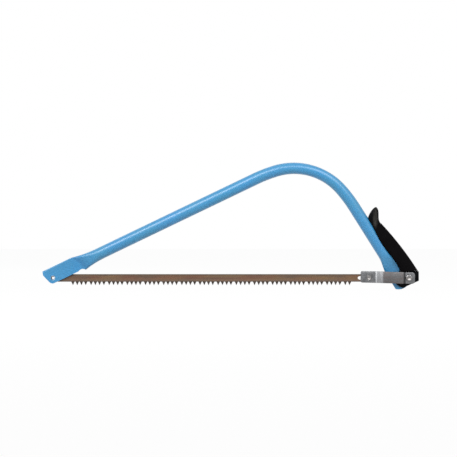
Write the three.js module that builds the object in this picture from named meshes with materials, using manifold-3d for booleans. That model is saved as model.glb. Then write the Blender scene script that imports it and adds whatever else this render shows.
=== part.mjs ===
// Bow saw: a bent steel tube, a peg-toothed blade and an over-centre lever that tightens the blade.
// Millimetres, +Z up, +X from the nose to the handle. The blade lies in the plane Y = 0.
import * as THREE from 'three';
import { mergeVertices } from 'three/addons/utils/BufferGeometryUtils.js';
import Module from 'manifold-3d';

const wasm = await Module();
wasm.setup();

// Clearances between neighbouring pieces
const SEAT_GAP = 0.3;
const RUN_GAP = 0.4;

// Frame tube
const TUBE_OD = 20;
const TUBE_WALL = 1.2;
const UPPER_ANGLE = 25.66;
const REAR_ANGLE = 57.8;
const BEND_RADIUS = 103.6;
const BEND_LEAD_RADIUS = 230;
const BEND_LEAD_ANGLE = 9.3;
const BEND_PINCH = 0.5;
const PRESSED_THICKNESS = 4;

// Pressed nose of the tube, measured along and across the tube from the nose pin
const PIN_BELOW_AXIS = 2.8;
const NOSE_OVERHANG = 13.1;
const NOSE_CORNER = 1.8;
const NOSE_FLAT_LENGTH = 50.6;
const NOSE_RAMP_LENGTH = 42;
const NOSE_RAMP_SKEW = 0.43;
const NOSE_RAMP_BOW = 3.1;
const NOSE_BROW = 8;
const NOSE_CHIN_RADIUS = 9.2;
const SLOT_EDGE = 11.3;
const SLOT_LENGTH = 47.1;
const SLOT_RUNOUT_RADIUS = 9;
const SLOT_RUNOUT_DEPTH = 1.4;

// Pressed tail of the tube, measured up and down from the fulcrum
const FULCRUM_BEHIND_AXIS = 1.45;
const TAIL_RAMP_START = 22;
const TAIL_RAMP_LENGTH = 30;
const TAIL_LENGTH = 13.4;
const TAIL_END_RADIUS = 20.3;

// Nose pin: a slotted spring pin with an open bore
const PIN_OD = 6.8;
const PIN_BORE = 4;
const PIN_SLIT = 0.9;

// Blade
const BLADE_SPAN = 521.2;
const BLADE_THICKNESS = 0.9;
const BLADE_HEIGHT = 12.4;
const TOOTH_HEIGHT = 5.6;
const TOOTH_BASE = 4.8;
const TOOTH_PITCH = 7;
const TOOTH_SET = 0.5;
const TOOTH_BEVEL = 1.3;
const TEETH_PER_GROUP = 4;
const GROUP_GULLET = 8.95;
const TOOTHLESS_FRONT = 32.8;
const TOOTHLESS_REAR = 29;
const PEG_SLOT_HEIGHT = 7.6;
const PEG_SLOT_FORWARD = 18.6;
const PEG_SLOT_WIDE = 12.4;
const PEG_SLOT_NOSE = 2.6;
const PEG_SLOT_REARWARD = 3.1;
const BLADE_REAR_MARGIN = 5;

// Tension link: two stamped plates between the blade and the lever
const LINK_LENGTH = 65.7;
const LINK_HEIGHT = 19;
const LINK_SHEET = 1.6;
const LINK_TILT = 1.4;
const LINK_FRONT = 13.9;
const LINK_REAR = 9.6;
const LINK_FRONT_CORNER = 3;
const LINK_REAR_CORNER = 5;
const LINK_NOSE_GAP = 1.1;
const LINK_BULGE = 1.5;
const LINK_FLARE_START = 54.8;
const LINK_FLARE_LENGTH = 11.7;
const LINK_STEP_START = 8.7;
const LINK_STEP_LENGTH = 2.2;
const LINK_BEND = 1;

// Peg that carries the blade in the link
const PEG_SQUARE = 7;
const PEG_SHANK = 4.2;
const PEG_PROUD = 0.3;
const PEG_DISH = 5.6;
const PEG_DISH_DEPTH = 1;

// Rivets that hinge the link on the lever
const RIVET_SHANK = 6;
const RIVET_HEAD = 11.4;
const RIVET_RIM = 1.9;
const RIVET_CREST = 7.8;
const RIVET_CENTRE = 0.7;
const RIVET_FOOT = 8;
const RIVET_FOOT_DEPTH = 1;

// Lever: a core with a horn and a forked foot, and a sleeve that covers its middle
const CRANK_RADIUS = 12.94;
const CRANK_ANGLE = 17;
const FOOT_WIDTH = 12.6;
const FOOT_BOSS = 10.6;
const FOOT_BOSS_END = 215;
const FOOT_SOLE = 11.6;
const FOOT_SOLE_FORWARD = 5.2;
const FOOT_BACK = 31.4;
const FOOT_BACK_DROP = 3.4;
const FOOT_HEEL = 23.7;
const FOOT_HEEL_DROP = 15.9;
const FOOT_THROAT = 5.2;
const FOOT_EDGE = 0.8;
const TANG_WIDTH = 9;
const TANG_DEPTH = 8;
const TANG_ROOT = 21;
const TANG_TOP = 15.5;
const TANG_INTO_HORN = 3;
const GRIP_TOP = 97.5;
const GRIP_WIDTH = 22.4;
const GRIP_NECK_WIDTH = 18;
const GRIP_NECK_SHARE = 0.3;
const GRIP_NECK_BACK = 21.8;
const GRIP_BELLY = 2.4;
const GRIP_NECK_LIP = 6;
const GRIP_LIP = 3.4;
const GRIP_MIDDLE_LIP = 4;
const GRIP_LOW_LIP = 6.6;
const GRIP_FOOT_LIP = -1.4;
const HORN_TOP = 125;
const HORN_TIP = 29.8;
const HORN_BROW = 6.6;
const HORN_LIP = 7.6;
const HORN_SHOULDER = 0.55;
const HORN_WAIST = 21.2;
const HORN_WAIST_SHARE = 0.1;
const HORN_TIP_SHARE = 0.85;
const HORN_WIDTH = 16;
const HORN_TIP_WIDTH = 8;
const HORN_TIP_ROUND = 2.4;
const HORN_DISH_WIDTH = 9.5;
const HORN_DISH_LENGTH = 32;
const HORN_DISH_DEPTH = 1.3;
const HORN_DISH_BELOW = 12.5;

// Fulcrum pin with flush heads
const FULCRUM_SHANK = 8;
const FULCRUM_HEAD = 13;
const FULCRUM_HEAD_DEPTH = 2.4;

// Roundness of the sleeve and horn in section: 1 is an ellipse, less is squarer
const BACK_ROUNDNESS = 0.8;
const FRONT_ROUNDNESS = 0.45;

// Facets
const TUBE_SIDES = 28;
const RAMP_STEPS = 9;
const ARC_STEP = 4.5;
const ROUND_SIDES = 28;
const GRIP_SIDES = 28;
const GRIP_STEPS = 14;
const HORN_STEPS = 9;
const DISH_SIDES = 16;
const CURVE_STEPS = 5;

// Colours and finishes
const finish = (color, roughness, metalness) =>
  new THREE.MeshStandardMaterial({ color, roughness, metalness });
const blueEnamel = () => finish(0x3f8fc8, 0.35, 0.1);
const brownSteel = () => finish(0x77604c, 0.5, 0.7);
const greySteel = () => finish(0x74767a, 0.45, 0.8);
const brightSteel = () => finish(0x9a9c9e, 0.25, 0.9);
const blackGloss = () => finish(0x101012, 0.25, 0);
const blackMatte = () => finish(0x131314, 0.75, 0);

// Places of the pivots in the plane of the blade, written as (x, z), with the nose pin at the origin
const { lerp, smoothstep, degToRad: radians } = THREE.MathUtils;
const direction = (angle) => new THREE.Vector2(Math.cos(angle), Math.sin(angle));
const upperAngle = radians(UPPER_ANGLE);
const rearAngle = radians(REAR_ANGLE);
const leverLean = Math.PI / 2 - rearAngle;
const nosePin = new THREE.Vector2(0, 0);
const bladePeg = new THREE.Vector2(BLADE_SPAN, 0);
const linkPivot = new THREE.Vector2(BLADE_SPAN + LINK_LENGTH, 0);
const fulcrum = linkPivot.clone().addScaledVector(direction(radians(CRANK_ANGLE)), -CRANK_RADIUS);

// Sizes that several pieces share
const tubeRadius = TUBE_OD / 2;
const pressedHalf = PRESSED_THICKNESS / 2;
const pressedReach = pressedHalf + (Math.PI / 2) * (tubeRadius - pressedHalf);
const tailSag = TAIL_END_RADIUS - Math.sqrt(TAIL_END_RADIUS ** 2 - pressedReach ** 2);
const tailCorner = TAIL_LENGTH - tailSag;
const tailReach = Math.hypot(pressedReach + FULCRUM_BEHIND_AXIS, tailCorner);
const footHalf = FOOT_WIDTH / 2;
const forkHalf = pressedHalf + SEAT_GAP;
const linkInner = footHalf + SEAT_GAP;
const linkOuter = linkInner + LINK_SHEET;
const linkSweep = Math.hypot(LINK_REAR - LINK_REAR_CORNER, LINK_HEIGHT / 2 - LINK_REAR_CORNER)
  + LINK_REAR_CORNER;
const gripFloor = linkSweep + RUN_GAP - fulcrum.y + linkPivot.y;

// Turns a closed geometry into a solid
function solid(geometry) {
  geometry.deleteAttribute('normal');
  geometry.deleteAttribute('uv');
  const merged = mergeVertices(geometry, 1e-4);
  const vertProperties = new Float32Array(merged.attributes.position.array);
  const triVerts = new Uint32Array(merged.index.array);
  return new wasm.Manifold(new wasm.Mesh({ numProp: 3, vertProperties, triVerts }));
}

// Turns a solid back into a named mesh
function piece(name, body, material) {
  const { vertProperties, triVerts, numProp } = body.getMesh();
  const geometry = new THREE.BufferGeometry();
  const points = new THREE.InterleavedBuffer(vertProperties, numProp);
  geometry.setAttribute('position', new THREE.InterleavedBufferAttribute(points, 3, 0));
  geometry.setIndex(new THREE.BufferAttribute(triVerts, 1));
  const flat = geometry.toNonIndexed();
  flat.computeVertexNormals();
  const mesh = new THREE.Mesh(flat, material);
  mesh.name = name;
  return mesh;
}

// Moves a mesh that was made about its own pivot to that pivot's place
function placed(mesh, place) {
  mesh.position.set(place.x, 0, place.y);
  return mesh;
}

// Sets a geometry drawn in its own (x, y) plane upright, turned in the plane of the blade and moved
function stand(geometry, angle = 0, place = nosePin) {
  return geometry.rotateX(Math.PI / 2).rotateY(-angle).translate(place.x, 0, place.y);
}

// A flat shape made as thick as asked, half to each side of its plane
function slab(shape, thickness, options = {}) {
  const edge = options.edge ?? 0;
  const geometry = new THREE.ExtrudeGeometry(shape, {
    depth: thickness - 2 * edge,
    curveSegments: CURVE_STEPS,
    bevelEnabled: edge > 0,
    bevelThickness: edge,
    bevelSize: edge,
    bevelOffset: -edge,
    bevelSegments: options.edgeSteps ?? 1,
  });
  return geometry.translate(0, 0, edge - thickness / 2);
}

// A round bar across the saw, from one half-width to another
function crossBar(radius, from, to, endRadius = radius) {
  const geometry = new THREE.CylinderGeometry(endRadius, radius, to - from, ROUND_SIDES);
  return geometry.translate(0, (from + to) / 2, 0);
}

// A body turned about an axis across the saw; the profile holds (radius, half-width) points
function turned(profile) {
  return new THREE.LatheGeometry(profile.map(([r, y]) => new THREE.Vector2(r, y)), ROUND_SIDES);
}

// Joins rings of equal counts into a closed body, with an optional bore of inner rings
function loft(rings, bores = null) {
  const count = rings[0].length;
  const points = [...rings, ...(bores ?? [])].flat();
  const index = [];
  const skin = (start, inward) => {
    for (let i = 0; i < rings.length - 1; i += 1) {
      for (let k = 0; k < count; k += 1) {
        const next = (k + 1) % count;
        const a = start + i * count + k;
        const b = start + i * count + next;
        const c = b + count;
        const d = a + count;
        index.push(...(inward ? [a, c, b, a, d, c] : [a, b, c, a, c, d]));
      }
    }
  };
  skin(0, false);
  const last = (rings.length - 1) * count;
  if (bores) {
    const inner = rings.length * count;
    skin(inner, true);
    for (let k = 0; k < count; k += 1) {
      const next = (k + 1) % count;
      index.push(k, inner + k, inner + next, k, inner + next, next);
      const e = last + k;
      const f = last + next;
      index.push(e, inner + f, inner + e, e, f, inner + f);
    }
  } else {
    for (const [start, ring, flip] of [[0, rings[0], true], [last, rings.at(-1), false]]) {
      const middle = points.length;
      points.push(ring.reduce((sum, p) => sum.add(p), new THREE.Vector3()).divideScalar(count));
      for (let k = 0; k < count; k += 1) {
        const a = start + k;
        const b = start + (k + 1) % count;
        index.push(middle, ...(flip ? [b, a] : [a, b]));
      }
    }
  }
  const geometry = new THREE.BufferGeometry().setFromPoints(points);
  geometry.setIndex(index);
  return geometry;
}

// Section of the tube where it is pressed to a half-thickness: its girth stays the same
function tubeSection(half, grow = 0) {
  const flat = (Math.PI / 2) * (tubeRadius - half);
  const points = [];
  for (let k = 0; k < TUBE_SIDES; k += 1) {
    const turn = ((k + 0.5) / TUBE_SIDES) * 2 * Math.PI;
    const across = Math.sign(Math.cos(turn)) * flat + (half + grow) * Math.cos(turn);
    points.push(new THREE.Vector2(across, -(half + grow) * Math.sin(turn)));
  }
  return points;
}

// Half-thickness from pressed flat to round: the nose opens at a crease, the tail opens gently
const noseOpening = (share) => lerp(tubeRadius, pressedHalf, (1 - share) ** 2);
const tailOpening = (share) => lerp(pressedHalf, tubeRadius, smoothstep(share, 0, 1));

// Centre line of the tube: an upper straight, a bend with easier ends and a rear leg
const axisAtPin = direction(upperAngle + Math.PI / 2).multiplyScalar(PIN_BELOW_AXIS);
const legDirection = direction(-rearAngle);
const axisAtFulcrum = fulcrum.clone().addScaledVector(direction(leverLean), -FULCRUM_BEHIND_AXIS);
const turnAngle = upperAngle + rearAngle;
const runToFulcrum = axisAtFulcrum.clone().sub(axisAtPin);
const upperRun = runToFulcrum.cross(legDirection) / direction(upperAngle).cross(legDirection);
const corner = axisAtPin.clone().addScaledVector(direction(upperAngle), upperRun);
const rearRun = corner.distanceTo(axisAtFulcrum);

// Stations along the bend, each with its place, its heading and how far it is drawn in
function bendStations() {
  const lead = radians(BEND_LEAD_ANGLE);
  const arcs = [[BEND_LEAD_RADIUS, lead], [BEND_RADIUS, turnAngle - 2 * lead], [BEND_LEAD_RADIUS, lead]];
  const stations = [];
  const place = new THREE.Vector2();
  let heading = upperAngle;
  for (const [radius, angle] of arcs) {
    const steps = Math.ceil(angle / radians(ARC_STEP));
    for (let i = 0; i < steps; i += 1) {
      stations.push({ place: place.clone(), heading });
      const chord = 2 * radius * Math.sin(angle / steps / 2);
      place.addScaledVector(direction(heading - angle / steps / 2), chord);
      heading -= angle / steps;
    }
  }
  stations.push({ place: place.clone(), heading });
  const tangent = place.length() / 2 / Math.cos(turnAngle / 2);
  const start = corner.clone().addScaledVector(direction(upperAngle), -tangent);
  for (const station of stations) {
    station.place.add(start);
    station.pinch = BEND_PINCH * Math.sin(Math.PI * (upperAngle - station.heading) / turnAngle);
  }
  return stations;
}

// Stations along the whole tube, from the nose to the tail
function tubeStations() {
  const stations = [];
  const onUpper = (run, half, skew, bow) => {
    const place = axisAtPin.clone().addScaledVector(direction(upperAngle), run);
    stations.push({ place, heading: upperAngle, half, skew, bow });
  };
  onUpper(-NOSE_OVERHANG, pressedHalf, 0, 0);
  for (let i = 0; i <= RAMP_STEPS; i += 1) {
    const share = i / RAMP_STEPS;
    const run = NOSE_FLAT_LENGTH + share * NOSE_RAMP_LENGTH;
    onUpper(run, noseOpening(share), NOSE_RAMP_SKEW, NOSE_RAMP_BOW);
  }
  stations.push(...bendStations());
  const onLeg = (rise, half) => {
    const place = axisAtFulcrum.clone().addScaledVector(legDirection, -rise);
    stations.push({ place, heading: -rearAngle, half });
  };
  for (let i = RAMP_STEPS; i >= 0; i -= 1) {
    const share = i / RAMP_STEPS;
    onLeg(TAIL_RAMP_START + share * TAIL_RAMP_LENGTH, tailOpening(share));
  }
  onLeg(-TAIL_LENGTH, pressedHalf);
  return stations;
}

// Ring of the tube's wall at a station, drawn in by an inset
function tubeRing({ place, heading, half = tubeRadius, skew = 0, bow = 0, pinch = 0 }, inset) {
  const normal = direction(heading + Math.PI / 2);
  const along = direction(heading);
  return tubeSection(half, -inset).map(({ x, y }) => {
    const across = x * (1 - pinch / tubeRadius);
    const back = skew * across + bow * (across / pressedReach) ** 2;
    const spot = place.clone().addScaledVector(normal, across).addScaledVector(along, -back);
    return new THREE.Vector3(spot.x, y * (1 + pinch / tubeRadius), spot.y);
  });
}

// Waste cut from the nose: its front is shaped and its lower fold is opened for the blade
function noseWaste() {
  const far = 2 * pressedReach;
  const pinHeight = -PIN_BELOW_AXIS;
  const runout = new THREE.Vector2(SLOT_LENGTH, SLOT_RUNOUT_DEPTH - SLOT_EDGE);
  runout.y -= SLOT_RUNOUT_RADIUS;
  const slotMeets = Math.asin((-SLOT_EDGE - runout.y) / SLOT_RUNOUT_RADIUS);
  const foldMeets = Math.asin((-pressedReach - runout.y) / SLOT_RUNOUT_RADIUS);
  const brow = new THREE.Vector2(-NOSE_OVERHANG, NOSE_BROW);
  const toBrow = brow.clone().sub(new THREE.Vector2(0, pinHeight));
  const chinStart = toBrow.angle() + Math.acos(NOSE_CHIN_RADIUS / toBrow.length());
  const chinEnd = 2 * Math.PI - Math.acos((SLOT_EDGE + pinHeight) / NOSE_CHIN_RADIUS) - Math.PI / 2;
  const shape = new THREE.Shape();
  shape.moveTo(-far, far);
  shape.lineTo(NOSE_CORNER - NOSE_OVERHANG, far);
  shape.lineTo(NOSE_CORNER - NOSE_OVERHANG, pressedReach);
  shape.lineTo(brow.x, brow.y);
  shape.absarc(0, pinHeight, NOSE_CHIN_RADIUS, chinStart, chinEnd, false);
  shape.absarc(runout.x, runout.y, SLOT_RUNOUT_RADIUS, Math.PI - slotMeets, foldMeets, true);
  shape.lineTo(SLOT_LENGTH + SLOT_RUNOUT_RADIUS, -far);
  shape.lineTo(-far, -far);
  return stand(slab(shape, 2 * TUBE_OD), upperAngle, axisAtPin);
}

// Waste cut from the tail: its end is rounded
function tailWaste() {
  const side = 2 * pressedReach;
  const middle = TAIL_END_RADIUS - TAIL_LENGTH;
  const meets = Math.asin(Math.min(1, pressedReach / TAIL_END_RADIUS));
  const shape = new THREE.Shape();
  shape.moveTo(-side, -side);
  shape.lineTo(side, -side);
  shape.lineTo(side, -tailCorner);
  shape.lineTo(pressedReach, -tailCorner);
  shape.absarc(0, middle, TAIL_END_RADIUS, meets - Math.PI / 2, -meets - Math.PI / 2, true);
  shape.lineTo(-side, -tailCorner);
  return stand(slab(shape, 2 * TUBE_OD), leverLean, axisAtFulcrum);
}

function frameTube() {
  const stations = tubeStations();
  const outer = stations.map((station) => tubeRing(station, 0));
  const inner = stations.map((station) => tubeRing(station, TUBE_WALL));
  const pinHole = crossBar(PIN_OD / 2 + SEAT_GAP, -TUBE_OD, TUBE_OD);
  const fulcrumHole = crossBar(FULCRUM_SHANK / 2 + SEAT_GAP, -TUBE_OD, TUBE_OD);
  const body = solid(loft(outer, inner))
    .subtract(solid(noseWaste()))
    .subtract(solid(tailWaste()))
    .subtract(solid(pinHole))
    .subtract(solid(fulcrumHole.translate(fulcrum.x, 0, fulcrum.y)));
  return piece('frame_tube', body, blueEnamel());
}

function nosePinPiece() {
  const slit = new THREE.BoxGeometry(PIN_OD, 2 * PRESSED_THICKNESS, PIN_SLIT);
  slit.translate(PIN_OD / 2, 0, 0).rotateY(-upperAngle);
  const body = solid(crossBar(PIN_OD / 2, -pressedHalf, pressedHalf))
    .subtract(solid(crossBar(PIN_BORE / 2, -PRESSED_THICKNESS, PRESSED_THICKNESS)))
    .subtract(solid(slit));
  return piece('nose_pin', body, greySteel());
}

// Tips of the teeth along the blade, in groups parted by a wide gullet
function toothTips() {
  const tips = [];
  let x = TOOTHLESS_FRONT;
  while (x < BLADE_SPAN - TOOTHLESS_REAR) {
    tips.push(x);
    x += tips.length % TEETH_PER_GROUP ? TOOTH_PITCH : GROUP_GULLET;
  }
  return tips;
}

function sawBlade() {
  const half = BLADE_HEIGHT / 2;
  const tips = toothTips();
  const rear = bladePeg.x + PEG_SLOT_REARWARD + BLADE_REAR_MARGIN;
  const shape = new THREE.Shape();
  shape.absarc(0, 0, half, Math.PI / 2, 1.5 * Math.PI, false);
  for (const x of tips) {
    shape.lineTo(x - TOOTH_BASE / 2, -half);
    shape.lineTo(x, -half - TOOTH_HEIGHT);
    shape.lineTo(x + TOOTH_BASE / 2, -half);
  }
  shape.absarc(rear - half / 2, -half / 2, half / 2, -Math.PI / 2, 0, false);
  shape.absarc(rear - half / 2, half / 2, half / 2, 0, Math.PI / 2, false);
  const eye = new THREE.Path();
  eye.absarc(0, 0, PIN_OD / 2 + SEAT_GAP, 0, 2 * Math.PI, true);
  const slot = new THREE.Path();
  const bend = PEG_SLOT_HEIGHT / 2;
  const slotFront = bladePeg.x - PEG_SLOT_FORWARD + PEG_SLOT_NOSE;
  slot.absarc(slotFront, 0, PEG_SLOT_NOSE, 1.5 * Math.PI, Math.PI / 2, true);
  slot.lineTo(bladePeg.x - PEG_SLOT_WIDE, bend);
  slot.absarc(bladePeg.x + PEG_SLOT_REARWARD - bend, 0, bend, Math.PI / 2, -Math.PI / 2, true);
  slot.lineTo(bladePeg.x - PEG_SLOT_WIDE, -bend);
  shape.holes.push(eye, slot);
  const strip = slab(shape, BLADE_THICKNESS);
  setTeeth(strip, tips, -half);
  return piece('saw_blade', solid(stand(strip)), brownSteel());
}

// Bends the teeth to alternate sides and files the back of each tip
function setTeeth(strip, tips, root) {
  const points = strip.attributes.position;
  for (let i = 0; i < points.count; i += 1) {
    const tooth = tips.findIndex((x) => Math.abs(x - points.getX(i)) < TOOTH_BASE / 4);
    if (tooth < 0 || points.getY(i) >= root) continue;
    const side = tooth % 2 ? 1 : -1;
    if (points.getZ(i) * side < 0) points.setY(i, points.getY(i) + TOOTH_BEVEL);
    points.setZ(i, points.getZ(i) + side * TOOTH_SET);
  }
}

// Outline of a link plate, drawn from the link's hinge with the blade towards -x
function linkOutline() {
  const half = LINK_HEIGHT / 2;
  const front = -LINK_LENGTH - LINK_FRONT;
  const rear = LINK_REAR;
  const f = LINK_FRONT_CORNER;
  const r = LINK_REAR_CORNER;
  const shape = new THREE.Shape();
  shape.absarc(front + f, half - f, f, Math.PI / 2, Math.PI, false);
  shape.absarc(front + f, f - half, f, Math.PI, 1.5 * Math.PI, false);
  shape.absarc(rear - r, r - half, r, 1.5 * Math.PI, 2 * Math.PI, false);
  shape.absarc(rear - r, half - r, r, 0, Math.PI / 2, false);
  return shape;
}

// Zero before a corner, a straight rise of one to one after it, and an eased bend between them
function easedRise(run) {
  if (Math.abs(run) >= LINK_BEND) return Math.max(0, run);
  return (run + LINK_BEND) ** 2 / (4 * LINK_BEND);
}

// Bent sheet of a link plate, seen from above: near the blade, flared over the tail, stepped to the foot
function linkSheet(side) {
  const far = LINK_LENGTH + LINK_FRONT + LINK_HEIGHT;
  const flareRise = linkInner + LINK_BULGE - LINK_NOSE_GAP;
  const bends = [
    [-LINK_FLARE_START, flareRise / LINK_FLARE_LENGTH],
    [LINK_FLARE_LENGTH - LINK_FLARE_START, -flareRise / LINK_FLARE_LENGTH],
    [-LINK_STEP_START, -LINK_BULGE / LINK_STEP_LENGTH],
    [LINK_STEP_LENGTH - LINK_STEP_START, LINK_BULGE / LINK_STEP_LENGTH],
  ];
  const height = (x) => bends.reduce((sum, [at, slope]) => sum + slope * easedRise(x - at), LINK_NOSE_GAP);
  const bendPoints = bends.flatMap(([at]) => [at - LINK_BEND, at, at + LINK_BEND]);
  const inner = [-far, ...bendPoints, LINK_REAR + LINK_HEIGHT].map((x) => new THREE.Vector2(x, height(x)));
  const outer = inner.map((point) => {
    const slope = (height(point.x + SEAT_GAP) - height(point.x - SEAT_GAP)) / (2 * SEAT_GAP);
    return point.clone().addScaledVector(direction(Math.atan(slope) + Math.PI / 2), LINK_SHEET);
  });
  const outline = [...inner, ...outer.reverse()].map(({ x, y }) => new THREE.Vector2(x, side * y));
  return slab(new THREE.Shape(outline), 2 * LINK_HEIGHT);
}

function linkPlate(name, side) {
  const window = PEG_SQUARE + 2 * SEAT_GAP;
  const reach = 2 * linkOuter;
  const outline = stand(slab(linkOutline(), 2 * reach), -radians(LINK_TILT));
  const square = new THREE.BoxGeometry(window, 2 * reach, window).translate(-LINK_LENGTH, 0, 0);
  const hole = crossBar(RIVET_SHANK / 2 + SEAT_GAP, -reach, reach);
  const body = solid(linkSheet(side))
    .intersect(solid(outline))
    .subtract(solid(square))
    .subtract(solid(hole));
  return placed(piece(name, body, greySteel()), linkPivot);
}

// Peg with two square heads, each dished by a punch
function bladePegPiece() {
  const face = LINK_NOSE_GAP + LINK_SHEET + PEG_PROUD;
  const inside = BLADE_THICKNESS / 2 + SEAT_GAP;
  const punch = ((PEG_DISH / 2) ** 2 + PEG_DISH_DEPTH ** 2) / (2 * PEG_DISH_DEPTH);
  let body = solid(crossBar(PEG_SHANK / 2, -face + PEG_DISH_DEPTH, face - PEG_DISH_DEPTH));
  for (const side of [-1, 1]) {
    const head = new THREE.BoxGeometry(PEG_SQUARE, face - inside, PEG_SQUARE);
    const dish = new THREE.SphereGeometry(punch, ROUND_SIDES, ROUND_SIDES);
    dish.translate(0, side * (face + punch - PEG_DISH_DEPTH), 0);
    body = body
      .add(solid(head.translate(0, side * (face + inside) / 2, 0)))
      .subtract(solid(dish));
  }
  return placed(piece('blade_peg', body, brightSteel()), bladePeg);
}

// A rivet with a rolled head, from outside the link plate to the inner face of the lever's fork
function linkRivet(name, side) {
  const foot = forkHalf;
  const seat = linkOuter + SEAT_GAP;
  const head = RIVET_HEAD / 2;
  const crest = RIVET_CREST / 2;
  const profile = [
    [0, foot],
    [RIVET_FOOT / 2, foot],
    [RIVET_SHANK / 2, foot + RIVET_FOOT_DEPTH],
    [RIVET_SHANK / 2, seat],
  ];
  for (let i = 0; i <= CURVE_STEPS; i += 1) {
    const turn = (Math.PI / 2) * (i / CURVE_STEPS);
    profile.push([crest + (head - crest) * Math.cos(turn), seat + RIVET_RIM * Math.sin(turn)]);
  }
  for (let i = CURVE_STEPS - 1; i >= 0; i -= 1) {
    const share = i / CURVE_STEPS;
    profile.push([crest * share, seat + lerp(RIVET_CENTRE, RIVET_RIM, smoothstep(share, 0, 1))]);
  }
  const geometry = turned(profile);
  if (side < 0) geometry.rotateX(Math.PI);
  return placed(piece(name, solid(geometry), brightSteel()), linkPivot);
}

function fulcrumPin() {
  const end = footHalf;
  const neck = end - FULCRUM_HEAD_DEPTH;
  const profile = [
    [0, -end],
    [FULCRUM_HEAD / 2, -end],
    [FULCRUM_SHANK / 2, -neck],
    [FULCRUM_SHANK / 2, neck],
    [FULCRUM_HEAD / 2, end],
    [0, end],
  ];
  return placed(piece('fulcrum_pin', solid(turned(profile)), greySteel()), fulcrum);
}

// The lever is drawn upright from the fulcrum: x towards its back, y up along the rear leg
const onLever = (geometry) => solid(stand(geometry, leverLean, fulcrum));

// Height in the lever's own frame of the level plane where the sleeve ends
const floorAt = (x, height) => (height - x * Math.sin(leverLean)) / Math.cos(leverLean);

// Room for the tube in front of the lever, open towards the front
function tubeRoom() {
  const front = -tubeRadius - TUBE_OD;
  const rise = TAIL_RAMP_START + TAIL_RAMP_LENGTH;
  const stations = [[-2 * FOOT_BACK, pressedHalf]];
  for (let i = 0; i <= RAMP_STEPS; i += 1) {
    const share = i / RAMP_STEPS;
    stations.push([TAIL_RAMP_START + share * TAIL_RAMP_LENGTH, tailOpening(share)]);
  }
  stations.push([rise + HORN_TOP, tubeRadius]);
  const rings = stations.map(([y, half]) => {
    const rear = tubeSection(half, RUN_GAP).filter((point) => point.x > 0);
    rear.sort((a, b) => b.y - a.y);
    const side = half + RUN_GAP;
    const ring = [new THREE.Vector2(front, side), ...rear, new THREE.Vector2(front, -side)];
    return ring.map((point) => new THREE.Vector3(point.x - FULCRUM_BEHIND_AXIS, y, point.y));
  });
  return onLever(loft(rings));
}

// Room between the cheeks of the foot, where the tail turns
function forkRoom() {
  const reach = tailReach + RUN_GAP;
  const shape = new THREE.Shape();
  shape.absarc(0, 0, reach, -Math.PI / 2, 0, false);
  shape.lineTo(reach, 0);
  shape.lineTo(pressedReach - FULCRUM_BEHIND_AXIS + RUN_GAP, 2 * reach);
  shape.lineTo(-2 * reach, 2 * reach);
  shape.lineTo(-2 * reach, -reach);
  return onLever(slab(shape, 2 * forkHalf));
}

// Side of the foot: a boss about the fulcrum, a sole, a heel and a top level with the sleeve's end
function footShape() {
  const top = gripFloor - SEAT_GAP;
  const bossStart = Math.PI - Math.asin(FOOT_THROAT / FOOT_BOSS);
  const shape = new THREE.Shape();
  shape.absarc(0, 0, FOOT_BOSS, bossStart, radians(FOOT_BOSS_END), false);
  shape.lineTo(-FOOT_SOLE_FORWARD, -FOOT_SOLE);
  shape.lineTo(FOOT_HEEL, -FOOT_HEEL_DROP);
  shape.lineTo(FOOT_BACK, -FOOT_BACK_DROP);
  shape.lineTo(FOOT_BACK, floorAt(FOOT_BACK, top));
  shape.lineTo(FOOT_THROAT, floorAt(FOOT_THROAT, top));
  return shape;
}

// Profiles of the sleeve: its back swells downwards and its lips wrap the tube most near the top
function gripProfiles() {
  const foot = floorAt(FOOT_BACK, gripFloor);
  const length = GRIP_TOP - foot;
  const lipSizes = [GRIP_NECK_LIP, GRIP_LIP, GRIP_MIDDLE_LIP, GRIP_LOW_LIP, GRIP_LOW_LIP, GRIP_FOOT_LIP];
  const lips = new THREE.SplineCurve(lipSizes.map((lip, i) => new THREE.Vector2(i, lip)));
  const back = (t) => lerp(GRIP_NECK_BACK, FOOT_BACK, t) + GRIP_BELLY * 4 * t * (1 - t);
  const front = (t) => lips.getPoint(t).y;
  const half = (t) => lerp(GRIP_NECK_WIDTH, GRIP_WIDTH, smoothstep(t, 0, GRIP_NECK_SHARE)) / 2;
  return { foot, length, back, front, half };
}

// Section of the sleeve or the horn: rounder at its back than at its front
function gripSection(back, front, half, y) {
  const middle = (back + front) / 2;
  const depth = (back - front) / 2;
  const ring = [];
  for (let k = 0; k < GRIP_SIDES; k += 1) {
    const turn = ((k + 0.5) / GRIP_SIDES) * 2 * Math.PI;
    const roundness = Math.sin(turn) > 0 ? BACK_ROUNDNESS : FRONT_ROUNDNESS;
    const round = (value) => Math.sign(value) * Math.abs(value) ** roundness;
    ring.push(new THREE.Vector3(middle + depth * round(Math.sin(turn)), y, half * round(Math.cos(turn))));
  }
  return ring;
}

// Side of the tang, which joins the foot to the horn inside the sleeve
function tangShape(grow) {
  const half = TANG_DEPTH / 2 + grow;
  const root = -FOOT_BACK_DROP;
  const top = GRIP_TOP + TANG_INTO_HORN;
  const shape = new THREE.Shape();
  shape.moveTo(TANG_ROOT - half, root);
  shape.lineTo(TANG_ROOT + half, root);
  shape.lineTo(TANG_TOP + half, top);
  shape.lineTo(TANG_TOP - half, top);
  return shape;
}

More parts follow.
